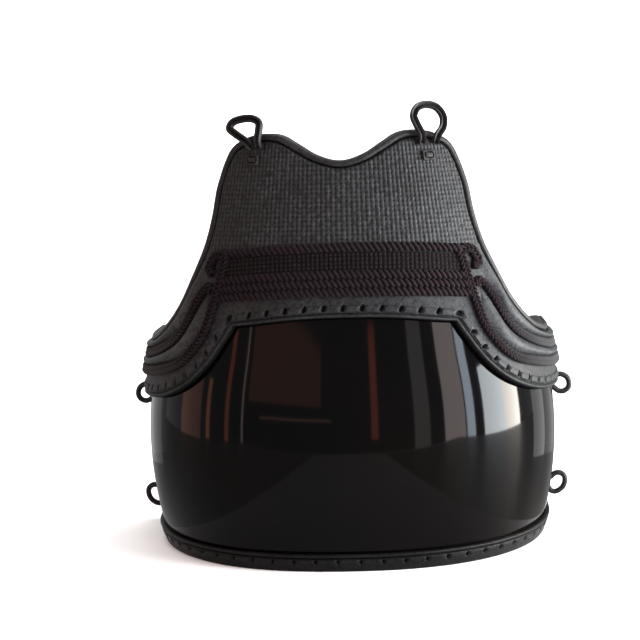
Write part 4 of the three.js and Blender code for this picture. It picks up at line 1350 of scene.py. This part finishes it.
# Name, azimuths, heights, distance, radiance and colour of each panel.
ROOM_PANELS = [
    ("window_cool_panel", (74, 92), (-0.14, 0.60), 2.0, 84, (0.90, 0.96, 1.0)),
    ("window_warm_panel", (92, 106), (-0.11, 0.60), 2.0, 88, (1.0, 0.94, 0.85)),
    ("sky_strip", (61, 67), (-0.22, 1.10), 2.0, 56, (0.76, 0.88, 1.0)),
    ("curtain_strip", (46, 60), (-0.20, 1.10), 2.0, 25, (1.0, 0.84, 0.82)),
    ("door_strip", (28, 37), (-0.20, 1.10), 2.1, 5.2, (1.0, 0.94, 0.90)),
    ("red_strip", (7, 10), (0.02, 1.10), 2.2, 10, (1.0, 0.22, 0.12)),
    ("wall_panel", (-50, -10), (0.46, 1.10), 2.2, 2.8, (1.0, 0.40, 0.24)),
    ("shelf_strip", (-42, -6), (0.26, 0.29), 2.2, 5.0, (1.0, 0.55, 0.40)),
    ("lamp_strip", (-54, -53), (-0.22, 1.10), 2.1, 13, (1.0, 0.80, 0.70)),
    ("left_red_strip", (-66, -63), (-0.22, 1.10), 2.0, 8.0, (1.0, 0.25, 0.14)),
    ("left_glow_strip", (-81, -78), (-0.05, 0.50), 2.0, 8.5, (1.0, 0.36, 0.16)),
    ("left_brown_strip", (-105, -86), (-0.22, 0.50), 2.0, 3.2, (1.0, 0.42, 0.28)),
]
for panel_values in ROOM_PANELS:
    lit_panel(*panel_values)

# %% [markdown]
# ## The cards
# The body's edges mirror what stands behind it at both sides. On a white ground they would melt
# into it, so grey cards stand and lie there that the camera doesn't see and only reflections do.
# The ground cards are white in front and grey behind, so that no dark shape shows in the belly.

# %% Grey cards
CARD_GREY, GROUND_GREY = 0.36, 0.22
CARD_AZIMUTHS, CARD_DISTANCE, CARD_HEIGHT, CARD_LIFT = (116, 178), 0.55, 1.0, 0.003
GROUND_X, GROUND_Y = (0.205, 1.30), (-0.90, 1.60)
GROUND_WHITE = 0.95
# Name, azimuths and radiance of the paler strips in front of the cards.
BACK_STRIPS = [
    ("back_strip_right_near", (110, 124), 2.2),
    ("back_strip_right_far", (124, 142), 0.35),
    ("back_strip_left", (-140, -119), 0.35),
]
# Where round the object the ground card turns from white to grey, in full turns from the far left.
GROUND_TURN = (0.40, 0.57)


def grey_card(name, corners, glow, side=0):
    """A card of faint grey light, for reflections alone. With a side it pales to the front."""
    clear_bench()
    bpy.ops.mesh.primitive_plane_add(size=1)
    card = named(name)
    put_points(card, np.array(corners))
    face_outwards(card)
    grey = Finish(name + "_paint")
    grey.feed("Base Color", grey.blend(grey.noise(5.0), (0.01, 0.01, 0.01, 1), (0.02, 0.02, 0.02, 1)))
    grey.feed("Emission Color", (0.97, 1.0, 0.98, 1))
    if side:
        place = grey.node("ShaderNodeTexCoord")
        mirror = grey.node("ShaderNodeMapping", Scale=(side, 1, 1))
        round_about = grey.node("ShaderNodeTexGradient", gradient_type="RADIAL")
        grey.join(place.outputs["Object"], mirror.inputs["Vector"])
        grey.join(mirror.outputs["Vector"], round_about.inputs["Vector"])
        glow = grey.between(round_about.outputs["Fac"], GROUND_WHITE, glow, *GROUND_TURN)
    grey.feed("Emission Strength", glow)
    card.data.materials.append(grey.material)
    card.visible_camera = False
    card.visible_diffuse = False
    card.visible_shadow = False
    print(name, "over", [round(size, 2) for size in card.dimensions], "m")


card_middle = math.radians(sum(CARD_AZIMUTHS) / 2)
card_out = Vector((math.sin(card_middle), -math.cos(card_middle)))
card_way = Vector((math.cos(card_middle), math.sin(card_middle)))
feet = [
    CARD_DISTANCE * (card_out + math.tan(math.radians(azimuth) - card_middle) * card_way)
    for azimuth in CARD_AZIMUTHS
]
for side, hand in HANDS:
    standing = [(side * x, y, z) for z in (CARD_LIFT, CARD_HEIGHT) for x, y in feet]
    grey_card(f"standing_card_{hand}", standing, CARD_GREY)
    lying = [(side * x, y, CARD_LIFT) for y in GROUND_Y for x in GROUND_X]
    grey_card(f"ground_card_{hand}", lying, GROUND_GREY, side)
for name, azimuths, radiance in BACK_STRIPS:
    strip = lit_panel(name, azimuths, (0, CARD_HEIGHT), CARD_DISTANCE * 0.9, radiance, (1, 1, 1))
    strip.visible_diffuse = False

# %% [markdown]
# ## The sky
# An even, nearly white sky fills the shadows. The Standard view shows the colours as they are.

# %% Sky
world = bpy.data.worlds.new("studio")
bpy.context.scene.world = world
world.use_nodes = True
sky = world.node_tree.nodes["Background"]
sky.inputs["Color"].default_value = (0.96, 0.98, 1.0, 1)
sky.inputs["Strength"].default_value = 0.90
bpy.context.scene.view_settings.view_transform = "Standard"
